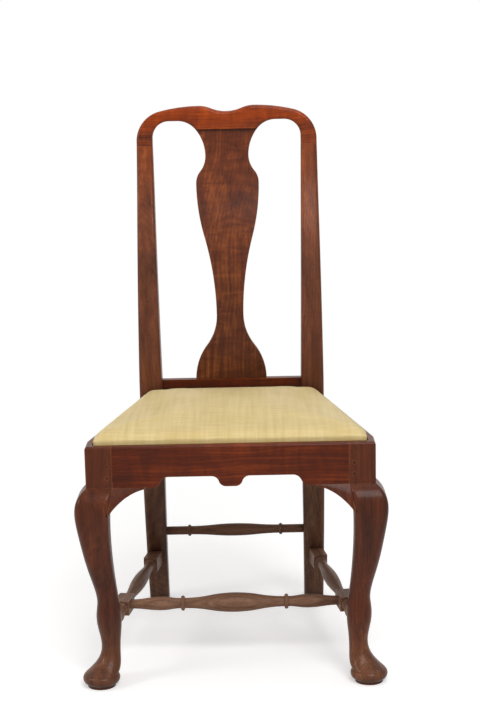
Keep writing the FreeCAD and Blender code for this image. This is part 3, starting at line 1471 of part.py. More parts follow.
def build_slip_seat():
    """Builds the loose seat that drops into the rails' rebate."""
    tacks = group("right_tacks", right_tacks())
    other_tacks = mirror("left_tacks", tacks)
    notch = f"({POST_FRONT} - {CORE_INSET})"
    inner = f"({POST_IN} - {CORE_INSET})"
    front = [
        (side_line(CORE_SIDE, LEG_REAR), CORE_FRONT),
        (side_line(CORE_SIDE, LEG_REAR), LEG_REAR),
        (side_line(CORE_SIDE, BOARD_FRONT), BOARD_FRONT),
    ]
    rear = [
        (side_line(CORE_SIDE, BOARD_REAR), BOARD_REAR),
        (side_line(CORE_SIDE, notch), notch),
        (inner, notch),
        (inner, CORE_REAR),
    ]
    both = [tacks, other_tacks]
    finish("seat_frame_front", build_seat_board("seat_frame_front_board", front, BOARD_FRONT, -1, both))
    finish("seat_frame_rear", build_seat_board("seat_frame_rear_board", rear, BOARD_REAR, 1, both))
    side = finish("seat_frame_right", build_seat_side([tacks]))
    finish("seat_frame_left", mirror("seat_frame_left", side))
    finish("lengthwise_webbing", build_lengthwise_webbing())
    finish("crosswise_webbing", build_crosswise_webbing())
    linen = new_body("linen")
    plan_pad(linen, "linen_plan", both_halves(seat_run(f"({CORE_INSET} + dims.linen_margin)")),
             WEBBING_TOP, "dims.linen_thickness")
    finish("seat_linen", linen)
    stuffing = padded_block("stuffing", CORE_INSET, LINEN_TOP, STUFFING_TOP, "dims.stuffing_round")
    finish("seat_stuffing", stuffing)
    finish("seat_cover", build_cover(both))
    finish("cover_tacks", group("tacks", both))


def check_and_export():
    """Stops on any broken feature, then writes each piece to its own file."""
    doc.recompute()
    for item in doc.Objects:
        if "Invalid" in item.State or "Error" in item.State:
            raise RuntimeError(f"{item.Label} is broken: {item.State}")
    os.makedirs("parts", exist_ok=True)
    for name, item in SUBPARTS.items():
        if item.Shape.isNull() or not item.Shape.isValid() or not item.Shape.Solids:
            raise RuntimeError(f"{name} has no sound shape")
        item.Shape.exportStep(os.path.join("parts", name + ".step"))


build_chair()
build_slip_seat()
check_and_export()
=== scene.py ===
"""Side chair with cabriole legs and a slip seat: its finishes, cushion, seat underside and studio."""

import logging
import math
from dataclasses import dataclass
from enum import Enum
from functools import reduce
from typing import Dict, Iterable, List, Optional, Sequence, Tuple

import bmesh
import bpy
from mathutils import Matrix, Vector
from mathutils.geometry import intersect_point_line


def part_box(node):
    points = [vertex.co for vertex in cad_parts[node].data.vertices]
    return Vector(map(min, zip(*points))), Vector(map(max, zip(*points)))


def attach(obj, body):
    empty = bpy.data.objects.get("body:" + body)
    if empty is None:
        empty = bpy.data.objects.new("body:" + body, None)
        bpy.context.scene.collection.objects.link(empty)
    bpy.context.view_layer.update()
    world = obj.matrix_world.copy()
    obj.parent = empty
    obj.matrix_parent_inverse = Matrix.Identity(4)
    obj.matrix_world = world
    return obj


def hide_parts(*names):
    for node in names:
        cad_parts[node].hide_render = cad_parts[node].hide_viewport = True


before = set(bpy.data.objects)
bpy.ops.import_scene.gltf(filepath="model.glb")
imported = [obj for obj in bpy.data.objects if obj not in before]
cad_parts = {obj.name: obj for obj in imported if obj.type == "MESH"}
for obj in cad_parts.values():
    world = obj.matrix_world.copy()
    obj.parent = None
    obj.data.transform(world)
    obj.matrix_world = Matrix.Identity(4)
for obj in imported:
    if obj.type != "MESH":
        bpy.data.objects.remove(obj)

log = logging.getLogger("side_chair")

Object = bpy.types.Object
Mesh = bpy.types.Mesh
Material = bpy.types.Material
Node = bpy.types.Node
Socket = bpy.types.NodeSocket
Shape = bmesh.types.BMesh
Settings = Dict[object, object]
Colour = Tuple[float, float, float, float]
Point = Tuple[float, float]
Place = Tuple[float, float, float]
Side = Tuple[Vector, Vector]

CLOTH_PLACE = "cloth_place"
WHITE: Colour = (1.0, 1.0, 1.0, 1.0)
# Points that are nearer than this, in metres, are the same, and so are places with as many equal digits.
SAME = 1e-5
SAME_DIGITS = 5
# How far apart the waves of Blender's wave texture are at a scale of 1.
WAVE_PERIOD = math.pi / 10
# The values that most of a noise lies between, and those that leave its extremes flat.
MIDDLE = (0.3, 0.7)
NARROW = (0.35, 0.65)


def srgb(red: int, green: int, blue: int) -> Colour:
    """Turns a colour as seen on a screen into the linear one that shaders use.

    Args:
        red: 0 to 255.
        green: 0 to 255.
        blue: 0 to 255.

    Returns:
        Linear red, green and blue with full alpha.
    """
    def linear(value: int) -> float:
        """One channel."""
        share = value / 255
        return share / 12.92 if share <= 0.04045 else ((share + 0.055) / 1.055) ** 2.4

    return linear(red), linear(green), linear(blue), 1.0


def clamp(value: float) -> float:
    """Keeps a share between 0 and 1."""
    return min(max(value, 0.0), 1.0)


def low_of(node: str) -> float:
    """Height of a CAD node's lowest point."""
    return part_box(node)[0].z


def high_of(node: str) -> float:
    """Height of a CAD node's highest point."""
    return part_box(node)[1].z


def seat_corners() -> List[Point]:
    """Finds the corners of the seat's plan in the stuffing's CAD solid.

    Returns:
        The corners, anticlockwise from the front right-hand one.
    """
    floor = low_of("seat_stuffing")
    spots = {(round(vertex.co.x, SAME_DIGITS), round(vertex.co.y, SAME_DIGITS))
             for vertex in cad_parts["seat_stuffing"].data.vertices if abs(vertex.co.z - floor) < SAME}
    right = sorted((spot for spot in spots if spot[0] > 0), key=lambda spot: (spot[1], -spot[0]))
    return right + [(-x, y) for x, y in reversed(right)]


def side_splay() -> float:
    """How far each of the seat's sides draws in towards the back, for each metre of depth."""
    (front_x, front_y), (rear_x, rear_y) = seat_corners()[1:3]
    return (front_x - rear_x) / (rear_y - front_y)


SPLAY = math.atan(side_splay())


class Grain(Enum):
    """Which way the fibres of a board run: a turn about Z, then the turns that bring them upright."""

    UPRIGHT = (0.0, (0.0, 0.0, 0.0))
    ACROSS = (0.0, (0.0, math.pi / 2, 0.0))
    DEEP = (0.0, (math.pi / 2, 0.0, 0.0))
    DEEP_RIGHT = (-SPLAY, (math.pi / 2, 0.0, 0.0))
    DEEP_LEFT = (SPLAY, (math.pi / 2, 0.0, 0.0))


class Bench:
    """Builds a node tree."""

    def __init__(self, tree: bpy.types.NodeTree) -> None:
        """Starts with nothing in the tree."""
        self.tree = tree
        tree.nodes.clear()

    def link(self, source: Socket, target: Socket) -> None:
        """Joins two sockets."""
        self.tree.links.new(source, target)

    def feed(self, target: Socket, value: object) -> None:
        """Joins a socket to the one that it takes its value from, or gives it a constant.

        Args:
            target: the socket.
            value: a socket or a constant.
        """
        if isinstance(value, Socket):
            self.link(value, target)
        else:
            target.default_value = value

    def add(self, kind: str, settings: Optional[Settings] = None, **values: object) -> Node:
        """Adds a node.

        Args:
            kind: the node's type.
            settings: what its sockets take, each a socket or a constant, by the socket's name or number.
            values: attributes of the node itself.

        Returns:
            The node.
        """
        node = self.tree.nodes.new(kind)
        for key, value in values.items():
            setattr(node, key, value)
        for key, value in (settings or {}).items():
            self.feed(node.inputs[key], value)
        return node

    def math(self, operation: str, first: object, second: object = 0.0, clamped: bool = False) -> Socket:
        """Arithmetic on two sockets or numbers."""
        node = self.add("ShaderNodeMath", {0: first, 1: second}, operation=operation, use_clamp=clamped)
        return node.outputs[0]

    def scaled(self, source: Socket, share: float) -> Socket:
        """A share of a value."""
        return self.math("MULTIPLY", source, share)

    def total(self, *parts: Socket) -> Socket:
        """Values added up."""
        return reduce(lambda first, second: self.math("ADD", first, second), parts)

    def band(self, source: Socket, span: Tuple[float, float], start: float = 0.0, end: float = 1.0) -> Socket:
        """Spreads the values of a span over another range, clamped."""
        settings = {"Value": source, "From Min": span[0], "From Max": span[1], "To Min": start, "To Max": end}
        return self.add("ShaderNodeMapRange", settings).outputs["Result"]


class MaterialBench(Bench):
    """Builds one material's node tree, round a Principled shader."""

    def __init__(self, name: str) -> None:
        """Starts a material that has only its shader."""
        self.material = bpy.data.materials.new(name)
        self.material.use_nodes = True
        super().__init__(self.material.node_tree)
        self.output = self.add("ShaderNodeOutputMaterial")
        self.shader = self.add("ShaderNodeBsdfPrincipled")
        self.link(self.shader.outputs["BSDF"], self.output.inputs["Surface"])

    def set(self, **values: object) -> None:
        """Feeds the shader's own sockets, whose names have spaces for underscores."""
        for key, value in values.items():
            self.feed(self.shader.inputs[key.replace("_", " ")], value)

    def place(self) -> Socket:
        """Object coordinates."""
        return self.add("ShaderNodeTexCoord").outputs["Object"]

    def mapping(self, source: Socket, rotation: Sequence[float] = (0, 0, 0),
                location: Sequence[float] = (0, 0, 0), scale: Sequence[float] = (1, 1, 1)) -> Socket:
        """Turns, moves and stretches coordinates."""
        settings = {"Vector": source, "Location": location, "Rotation": rotation, "Scale": scale}
        return self.add("ShaderNodeMapping", settings).outputs["Vector"]

    def drawn(self, source: Socket, share: float) -> Socket:
        """Coordinates on which a pattern is drawn out along Z, the more the smaller the share."""
        return self.mapping(source, scale=(1, 1, share))

    def noise(self, source: Socket, scale: float, detail: float = 2.0, roughness: float = 0.5,
              distortion: float = 0.0) -> Socket:
        """A noise texture's value, about 0.5."""
        settings = {"Vector": source, "Scale": scale, "Detail": detail, "Roughness": roughness,
                    "Distortion": distortion}
        return self.add("ShaderNodeTexNoise", settings).outputs["Fac"]

    def threads(self, source: Socket, direction: str, width: float, distortion: float, detail: float,
                detail_scale: float) -> Socket:
        """Parallel threads, counted along a direction, as waves from 0 to 1."""
        settings = {"Vector": source, "Scale": WAVE_PERIOD / width, "Distortion": distortion, "Detail": detail,
                    "Detail Scale": detail_scale}
        return self.add("ShaderNodeTexWave", settings, bands_direction=direction).outputs["Fac"]

    def ramp(self, source: Socket, stops: Sequence[Tuple[float, Colour]]) -> Socket:
        """Colours along a value.

        Args:
            source: the value.
            stops: places between 0 and 1, rising, and their colours.

        Returns:
            The colour.
        """
        node = self.add("ShaderNodeValToRGB", {"Fac": source})
        elements = node.color_ramp.elements
        while len(elements) < len(stops):
            elements.new(0.5)
        for element, (place, colour) in zip(elements, stops):
            element.position = place
            element.color = colour
        return node.outputs["Color"]

    def mix(self, share: object, first: object, second: object, blend: str = "MIX") -> Socket:
        """Mixes two colours, each a socket or a constant."""
        node = self.add("ShaderNodeMix", {0: share, 6: first, 7: second}, data_type="RGBA", blend_type=blend)
        return node.outputs[2]

    def bump(self, height: Socket, strength: float, distance: float, below: Optional[Socket] = None) -> Socket:
        """Raises a height into a normal.

        Args:
            height: the height.
            strength: how much of it shows, less than nothing where it goes in.
            distance: how high a height of 1 is.
            below: another bump that this one lies on.

        Returns:
            The normal.
        """
        settings = {"Height": height, "Strength": strength, "Distance": distance}
        if below is not None:
            settings["Normal"] = below
        return self.add("ShaderNodeBump", settings).outputs["Normal"]

    def worn_edges(self, radius: float) -> Socket:
        """Finds edges.

        Args:
            radius: how near an edge has to be.

        Returns:
            0 on flat faces, towards 1 where the surface turns within the radius.
        """
        rounded = self.add("ShaderNodeBevel", {"Radius": radius}, samples=4).outputs["Normal"]
        true = self.add("ShaderNodeNewGeometry").outputs["Normal"]
        dot = self.add("ShaderNodeVectorMath", {0: rounded, 1: true}, operation="DOT_PRODUCT")
        return self.math("SUBTRACT", 1.0, dot.outputs["Value"], clamped=True)

    def openness(self, distance: float) -> Socket:
        """1 where the surface is in the open, towards 0 in corners."""
        return self.add("ShaderNodeAmbientOcclusion", {"Distance": distance}, samples=6).outputs["AO"]


@dataclass(frozen=True)
class AgeAndLightBand:
    """A change of the wood's body tone with height, some from age, some painted shade and painted sheen: none at
    one height, its full share at the other.
    """

    clear: float
    full: float
    tone: Colour
    share: float


@dataclass(frozen=True)
class WoodFinish:
    """A wood with its growth rings, fibres, pores, polish and wear, with soiling and painted shade in its
    corners, and bands of tone by height.
    """

    deep: Colour
    body: Colour
    pale: Colour
    worn: Colour
    ring: float = 70.0
    contrast: float = 0.12
    figure: float = 0.0
    rough: Tuple[float, float] = (0.28, 0.46)
    polish: float = 0.14
    polish_rough: float = 0.16
    shine: float = 0.10
    wear: float = 0.5
    worn_edge: float = 0.0035
    # soiling and painted shade in corners: its strongest share, and how far it reaches
    soil_and_shade: float = 0.62
    soil_and_shade_reach: float = 0.03
    pore_shade: float = 0.55
    age_and_light_bands: Tuple[AgeAndLightBand, ...] = ()

    def tone(self, bench: MaterialBench, place: Socket, fibres: Socket, clouds: Socket) -> Socket:
        """Mixes streaks, rings, fibres and clouds into one value from dark to light wood.

        Args:
            bench: the material.
            place: coordinates with the fibres along Z.
            fibres: the fine fibres.
            clouds: the broad clouds.

        Returns:
            The value, about 0.5.
        """
        course = {"Vector": bench.drawn(place, 0.3), "Scale": 9.0, "Detail": 2.0}
        wander = bench.add("ShaderNodeTexNoise", course).outputs["Color"]
        drift = {0: wander, 1: (0.05, 0.05, 0.0), 2: place}
        bent = bench.add("ShaderNodeVectorMath", drift, operation="MULTIPLY_ADD").outputs["Vector"]
        growth = {"Vector": bench.drawn(bent, 0.13), "Scale": self.ring, "Distortion": 3.0, "Detail": 3.0,
                  "Detail Scale": 0.4, "Detail Roughness": 0.6}
        wave = bench.add("ShaderNodeTexWave", growth, wave_type="RINGS", rings_direction="Z").outputs["Fac"]
        streaks = bench.noise(bench.drawn(bent, 0.035), scale=95, detail=5, roughness=0.62)
        rings = bench.math("MULTIPLY", wave, bench.band(clouds, NARROW, start=0.2))
        parts = [bench.scaled(rings, self.contrast), bench.band(streaks, MIDDLE, 0.02, 0.36),
                 bench.scaled(fibres, 0.38), bench.band(clouds, MIDDLE, -0.12, 0.22)]
        if self.figure:
            curl = bench.noise(bench.mapping(place, scale=(0.45, 0.45, 1.6)), scale=30, distortion=1.2)
            parts.append(bench.band(curl, NARROW, -self.figure, self.figure))
        return bench.total(*parts)

    def banded_by_age_and_light(self, bench: MaterialBench, colour: Socket, stand: Socket, clouds: Socket) -> Socket:
        """Lays the bands by height over the wood, with an uneven border: some are age, some painted shade and
        painted sheen.

        Args:
            bench: the material.
            colour: the wood's own colour.
            stand: coordinates with the height along Z.
            clouds: the broad clouds, which make the border uneven.

        Returns:
            The colour with its bands by height.
        """
        for layer in self.age_and_light_bands:
            height = bench.add("ShaderNodeSeparateXYZ", {"Vector": stand}).outputs["Z"]
            height = bench.math("ADD", height, bench.band(clouds, MIDDLE, -0.03, 0.03))
            share = bench.band(height, (layer.clear, layer.full), end=layer.share)
            tint = tuple(tone / body for tone, body in zip(layer.tone, self.body))
            colour = bench.mix(share, colour, tint, blend="MULTIPLY")
        return colour

    def material(self, name: str, grain: Grain, offset: Sequence[float]) -> Material:
        """Builds the finish for one board.

        Args:
            name: the material's name.
            grain: which way the fibres run.
            offset: where in the log the board was sawn, so that no two boards match.

        Returns:
            The material.
        """
        bench = MaterialBench(name)
        stand = bench.place()
        turn, upright = grain.value
        place = bench.mapping(bench.mapping(stand, rotation=(0, 0, turn)), rotation=upright, location=offset)
        fibres = bench.noise(bench.drawn(place, 0.03), scale=420, detail=4, roughness=0.65)
        pores = bench.band(bench.noise(bench.drawn(place, 0.05), scale=1300, detail=1), (0.60, 0.70))
        clouds = bench.noise(bench.drawn(place, 0.35), scale=7, detail=3, roughness=0.55, distortion=0.6)
        colour = bench.ramp(self.tone(bench, place, fibres, clouds),
                            ((0.10, self.deep), (0.52, self.body), (0.95, self.pale)))
        colour = self.banded_by_age_and_light(bench, colour, stand, clouds)
        colour = bench.mix(bench.scaled(pores, self.pore_shade), colour, self.deep)
        # Soiling and painted shade: the wood darkens where other surfaces hem it in, found by ambient occlusion.
        soil_and_shade_colour = tuple(0.35 * channel for channel in self.deep[:3]) + (1.0,)
        soil_and_shade_share = bench.band(bench.openness(self.soil_and_shade_reach), (0.25, 0.8), self.soil_and_shade, 0.0)
        colour = bench.mix(soil_and_shade_share, colour, soil_and_shade_colour)
        rub = bench.math("MULTIPLY", bench.band(bench.worn_edges(self.worn_edge), (0.02, 0.3)),
                         bench.band(bench.noise(place, scale=45, detail=3), NARROW))
        colour = bench.mix(bench.scaled(rub, self.wear), colour, self.worn)
        gloss = bench.total(bench.band(clouds, MIDDLE, *self.rough), bench.scaled(pores, 0.15))
        normal = bench.bump(bench.noise(place, scale=28, detail=3), strength=0.12, distance=0.0015)
        normal = bench.bump(fibres, strength=0.10, distance=0.0006, below=normal)
        normal = bench.bump(pores, strength=-0.25, distance=0.0004, below=normal)
        bench.set(Base_Color=colour, Roughness=gloss, Normal=normal, Coat_Weight=self.polish,
                  Coat_Roughness=self.polish_rough, Specular_IOR_Level=self.shine)
        return bench.material


@dataclass(frozen=True)
class SilkFinish:
    """Gold silk with fine ribs, uneven threads and a soft sheen."""

    shade: Colour
    body: Colour
    light: Colour
    rib: float = 0.0009
    warp_count: float = 1.6
    sheen: float = 0.25
    sheen_rough: float = 0.4
    sheen_tint: Colour = (1.0, 0.93, 0.75, 1.0)

    def material(self, name: str) -> Material:
        """Builds the cover's cloth.

        Args:
            name: the material's name.

        Returns:
            The material.
        """
        bench = MaterialBench(name)
        flat = bench.add("ShaderNodeAttribute", attribute_name=CLOTH_PLACE).outputs["Vector"]
        weft = bench.threads(flat, "Y", self.rib, distortion=0.6, detail=1.0, detail_scale=0.05)
        warp = bench.threads(flat, "X", self.rib / self.warp_count, distortion=0.4, detail=1.0,
                             detail_scale=0.05)
        slubs = bench.noise(bench.mapping(flat, scale=(0.04, 1, 1)), scale=420, detail=3, roughness=0.6)
        streaks = bench.noise(bench.mapping(flat, scale=(1, 0.05, 1)), scale=120)
        clouds = bench.noise(flat, scale=9, detail=3)
        tone = bench.total(bench.scaled(slubs, 0.42), bench.scaled(streaks, 0.33), bench.scaled(clouds, 0.25),
                           bench.scaled(weft, 0.12))
        colour = bench.ramp(tone, ((0.36, self.shade), (0.56, self.body), (0.78, self.light)))
        weave = bench.math("MULTIPLY", weft, bench.math("ADD", bench.scaled(warp, 0.4), 0.6))
        normal = bench.bump(weave, strength=0.35, distance=0.0003)
        normal = bench.bump(slubs, strength=0.25, distance=0.0006, below=normal)
        bench.set(Base_Color=colour, Roughness=bench.band(slubs, MIDDLE, 0.62, 0.46), Normal=normal,
                  Sheen_Weight=self.sheen, Sheen_Roughness=self.sheen_rough, Sheen_Tint=self.sheen_tint)
        return bench.material


@dataclass(frozen=True)
class PlainWeaveFinish:
    """A coarse cloth of crossing yarns."""

    dark: Colour
    light: Colour
    yarn: float
    depth: float
    fuzz: float = 0.2
    rough: float = 0.92

    def material(self, name: str) -> Material:
        """Builds the cloth.

        Args:
            name: the material's name.

        Returns:
            The material.
        """
        bench = MaterialBench(name)
        place = bench.place()
        yarns = [bench.threads(place, direction, self.yarn, distortion=1.2, detail=2.0, detail_scale=0.2)
                 for direction in ("X", "Y")]
        weave = bench.scaled(bench.total(*yarns), 0.5)
        slubs = bench.noise(place, scale=90, detail=4, roughness=0.6)
        tone = bench.total(bench.scaled(weave, 0.5), bench.scaled(slubs, 0.6))
        bench.set(Base_Color=bench.ramp(tone, ((0.2, self.dark), (0.8, self.light))), Roughness=self.rough,
                  Normal=bench.bump(weave, strength=0.6, distance=self.depth), Sheen_Weight=self.fuzz)
        return bench.material


@dataclass(frozen=True)
class IronFinish:
    """Forged iron, dark and a little rusty."""

    dark: Colour
    rust: Colour
    metal: float = 0.85

    def material(self, name: str) -> Material:
        """Builds the iron.

        Args:
            name: the material's name.

        Returns:
            The material.
        """
        bench = MaterialBench(name)
        pits = bench.noise(bench.place(), scale=900, detail=4, roughness=0.6)
        bench.set(Base_Color=bench.ramp(pits, ((0.45, self.dark), (0.75, self.rust))), Metallic=self.metal,
                  Roughness=bench.band(pits, (0.3, 0.8), 0.4, 0.8),
                  Normal=bench.bump(pits, strength=0.4, distance=0.0003))
        return bench.material


# The back posts turn more orange towards the crest.
WARMER_POST_TOP = AgeAndLightBand(clear=0.70, full=0.923, tone=srgb(138, 66, 28), share=0.9)
# Painted shade: the back posts darker, browner and greyer below the seat.
SHADED_REAR_LEG = AgeAndLightBand(clear=0.46, full=0.34, tone=srgb(86, 57, 41), share=0.9)
BROWN_SHOULDER = AgeAndLightBand(clear=0.97, full=0.923, tone=srgb(130, 60, 24), share=0.9)
# Painted shade: the splat darker towards its foot.
SHADED_SPLAT_FOOT = AgeAndLightBand(clear=0.84, full=0.60, tone=srgb(86, 42, 20), share=0.9)
# Scuffs and painted sheen: the feet lighter and greyer near the floor.
SCUFF_AND_SHEEN_PAD = AgeAndLightBand(clear=0.12, full=0.03, tone=srgb(116, 72, 48), share=0.9)
WALNUT = WoodFinish(srgb(46, 18, 8), srgb(90, 42, 21), srgb(134, 72, 37), srgb(168, 104, 60),
                    age_and_light_bands=(SCUFF_AND_SHEEN_PAD,))
POST_WALNUT = WoodFinish(srgb(54, 25, 14), srgb(103, 57, 36), srgb(148, 90, 58), srgb(168, 108, 66),
                         age_and_light_bands=(WARMER_POST_TOP, SHADED_REAR_LEG))
SPLAT_WALNUT = WoodFinish(srgb(54, 20, 8), srgb(104, 48, 22), srgb(160, 86, 40), srgb(182, 108, 56), ring=52.0,
                          figure=0.10, age_and_light_bands=(SHADED_SPLAT_FOOT,))
# Brighter, more orange walnut: partly the crest's own tone, partly painted light on its upward faces.
CREST_LIT_WALNUT = WoodFinish(srgb(78, 24, 4), srgb(149, 58, 9), srgb(203, 95, 20), srgb(198, 108, 40), ring=60.0,
                          figure=0.08, age_and_light_bands=(BROWN_SHOULDER,))
# Darker walnut: partly the rails' own tone, partly painted shade on their upright faces.
RAIL_SHADED_WALNUT = WoodFinish(srgb(42, 12, 3), srgb(90, 32, 7), srgb(138, 59, 15), srgb(166, 90, 40), ring=80.0,
                         figure=0.06)
STRETCHER_WALNUT = WoodFinish(srgb(68, 43, 32), srgb(120, 87, 69), srgb(160, 122, 98), srgb(170, 128, 98),
                              polish=0.02, shine=0.06)
PIN_WOOD = WoodFinish(srgb(34, 13, 6), srgb(66, 28, 13), srgb(98, 48, 24), srgb(120, 66, 36), ring=160.0,
                      wear=0.3)
PINE = WoodFinish(srgb(116, 78, 42), srgb(164, 118, 70), srgb(196, 154, 102), srgb(150, 104, 62), ring=30.0,
                  rough=(0.7, 0.85), polish=0.0, wear=0.25)
GOLD_SILK = SilkFinish(srgb(192, 165, 100), srgb(212, 188, 127), srgb(230, 211, 158))
LINEN = PlainWeaveFinish(srgb(150, 134, 104), srgb(206, 192, 160), yarn=0.0012, depth=0.0003)
JUTE = PlainWeaveFinish(srgb(104, 78, 48), srgb(164, 132, 88), yarn=0.0022, depth=0.0007, fuzz=0.3)
IRON = IronFinish(srgb(34, 31, 29), srgb(74, 48, 32))

Board = Tuple[str, WoodFinish, Grain]


def new_object(name: str, data: bpy.types.ID, material: Optional[Material] = None) -> Object:
    """Puts a mesh, a lamp or a camera in the scene.

    Args:
        name: the object's name.
        data: the mesh, already in place, or the lamp or camera.
        material: a mesh's finish.

    Returns:
        The object.
    """
    item = bpy.data.objects.new(name, data)
    bpy.context.scene.collection.objects.link(item)
    if material is not None:
        data.materials.clear()
        data.materials.append(material)
    return item


def mesh_from(name: str, bm: Shape, smooth: bool = True) -> Mesh:
    """Closes a shape into a mesh with faces that point outwards.

    Args:
        name: the mesh's name.
        bm: the shape, which is freed.
        smooth: whether its faces are shaded smoothly.

    Returns:
        The mesh.
    """
    bmesh.ops.recalc_face_normals(bm, faces=bm.faces)
    for face in bm.faces:
        face.smooth = smooth
    mesh = bpy.data.meshes.new(name)
    bm.to_mesh(mesh)
    bm.free()
    return mesh


def rounded_plan(corners: Sequence[Tuple[Vector, float]], steps: int = 5) -> List[Point]:
    """Rounds the corners of a plan.

    Args:
        corners: each corner in turn, with its radius.
        steps: points on each rounding, less one.

    Returns:
        The outline's points.
    """
    outline: List[Point] = []
    count = len(corners)
    for number, (here, radius) in enumerate(corners):
        before = (corners[number - 1][0] - here).normalized()
        after = (corners[(number + 1) % count][0] - here).normalized()
        reach = radius / math.tan(before.angle(after) / 2)
        first, last = here + before * reach, here + after * reach
        for step in range(steps + 1):
            share = step / steps
            bent = first * (1 - share) ** 2 + here * 2 * share * (1 - share) + last * share ** 2
            outline.append((bent.x, bent.y))
    return outline


def bridge(bm: Shape, rows: Sequence[Sequence[bmesh.types.BMVert]]) -> None:
    """Joins closed rows of points into a form with closed ends.

    Args:
        bm: the shape to add to.
        rows: the rows in turn, each with as many points.
    """
    for low, high in zip(rows, rows[1:]):
        for number in range(len(low)):
            following = (number + 1) % len(low)
            bm.faces.new((low[number], low[following], high[following], high[number]))
    bm.faces.new(list(reversed(rows[0])))
    bm.faces.new(rows[-1])


def stack_rings(name: str, rings: Iterable[Tuple[Sequence[Point], float]], smooth: bool = True) -> Mesh:
    """Joins outlines at rising heights into a closed form.

    Args:
        name: the mesh's name.
        rings: outlines with the same number of points, and their heights.
        smooth: whether its faces are shaded smoothly.

    Returns:
        The mesh.
    """
    bm = bmesh.new()
    bridge(bm, [[bm.verts.new((x, y, z)) for x, y in outline] for outline, z in rings])
    return mesh_from(name, bm, smooth)


def nearest_side(here: Vector, sides: Sequence[Side]) -> Tuple[Vector, Vector]:
    """Finds the side of a plan that a point lies beside.

    Args:
        here: the point.
        sides: start and end of each side, anticlockwise.

    Returns:
        The closest spot on that side, and the side's outward direction.
    """
    found = []
    for start, end in sides:
        spot = start.lerp(end, clamp(intersect_point_line(here, start, end)[1]))
        found.append(((spot - here).length, spot, end - start))
    spot, run = min(found, key=lambda side: side[0])[1:]
    return spot, Vector((run.y, -run.x)).normalized()


def bake(item: Object) -> None:
    """Turns an object's modifiers into its own mesh.

    Args:
        item: the object.
    """
    graph = bpy.context.evaluated_depsgraph_get()
    mesh = bpy.data.meshes.new_from_object(item.evaluated_get(graph))
    item.modifiers.clear()
    item.data = mesh


def combine(item: Object, mesh: Mesh, operation: str) -> None:
    """Adds a shape to a piece or takes it out.

    Args:
        item: the piece.
        mesh: the shape.
        operation: UNION or DIFFERENCE.
    """
    tool = new_object(mesh.name, mesh)
    step = item.modifiers.new(mesh.name, "BOOLEAN")
    step.operation = operation
    step.solver = "EXACT"
    step.object = tool
    bake(item)
    bpy.data.objects.remove(tool)


def points_of(item: Object) -> List[Tuple[bpy.types.MeshVertex, Vector]]:
    """Each point of a piece with the way that it faces before any point is moved."""
    return list(zip(item.data.vertices, [normal.vector.copy() for normal in item.data.vertex_normals]))


def dress_node(name: str, material: Material) -> None:
    """Gives a CAD node its finish.

    Args:
        name: the node.
        material: the finish.
    """
    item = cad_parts[name]
    if not item.material_slots:
        item.data.materials.append(material)
    for slot in item.material_slots:
        slot.material = material
    log.info("%s: %s", name, material.name)


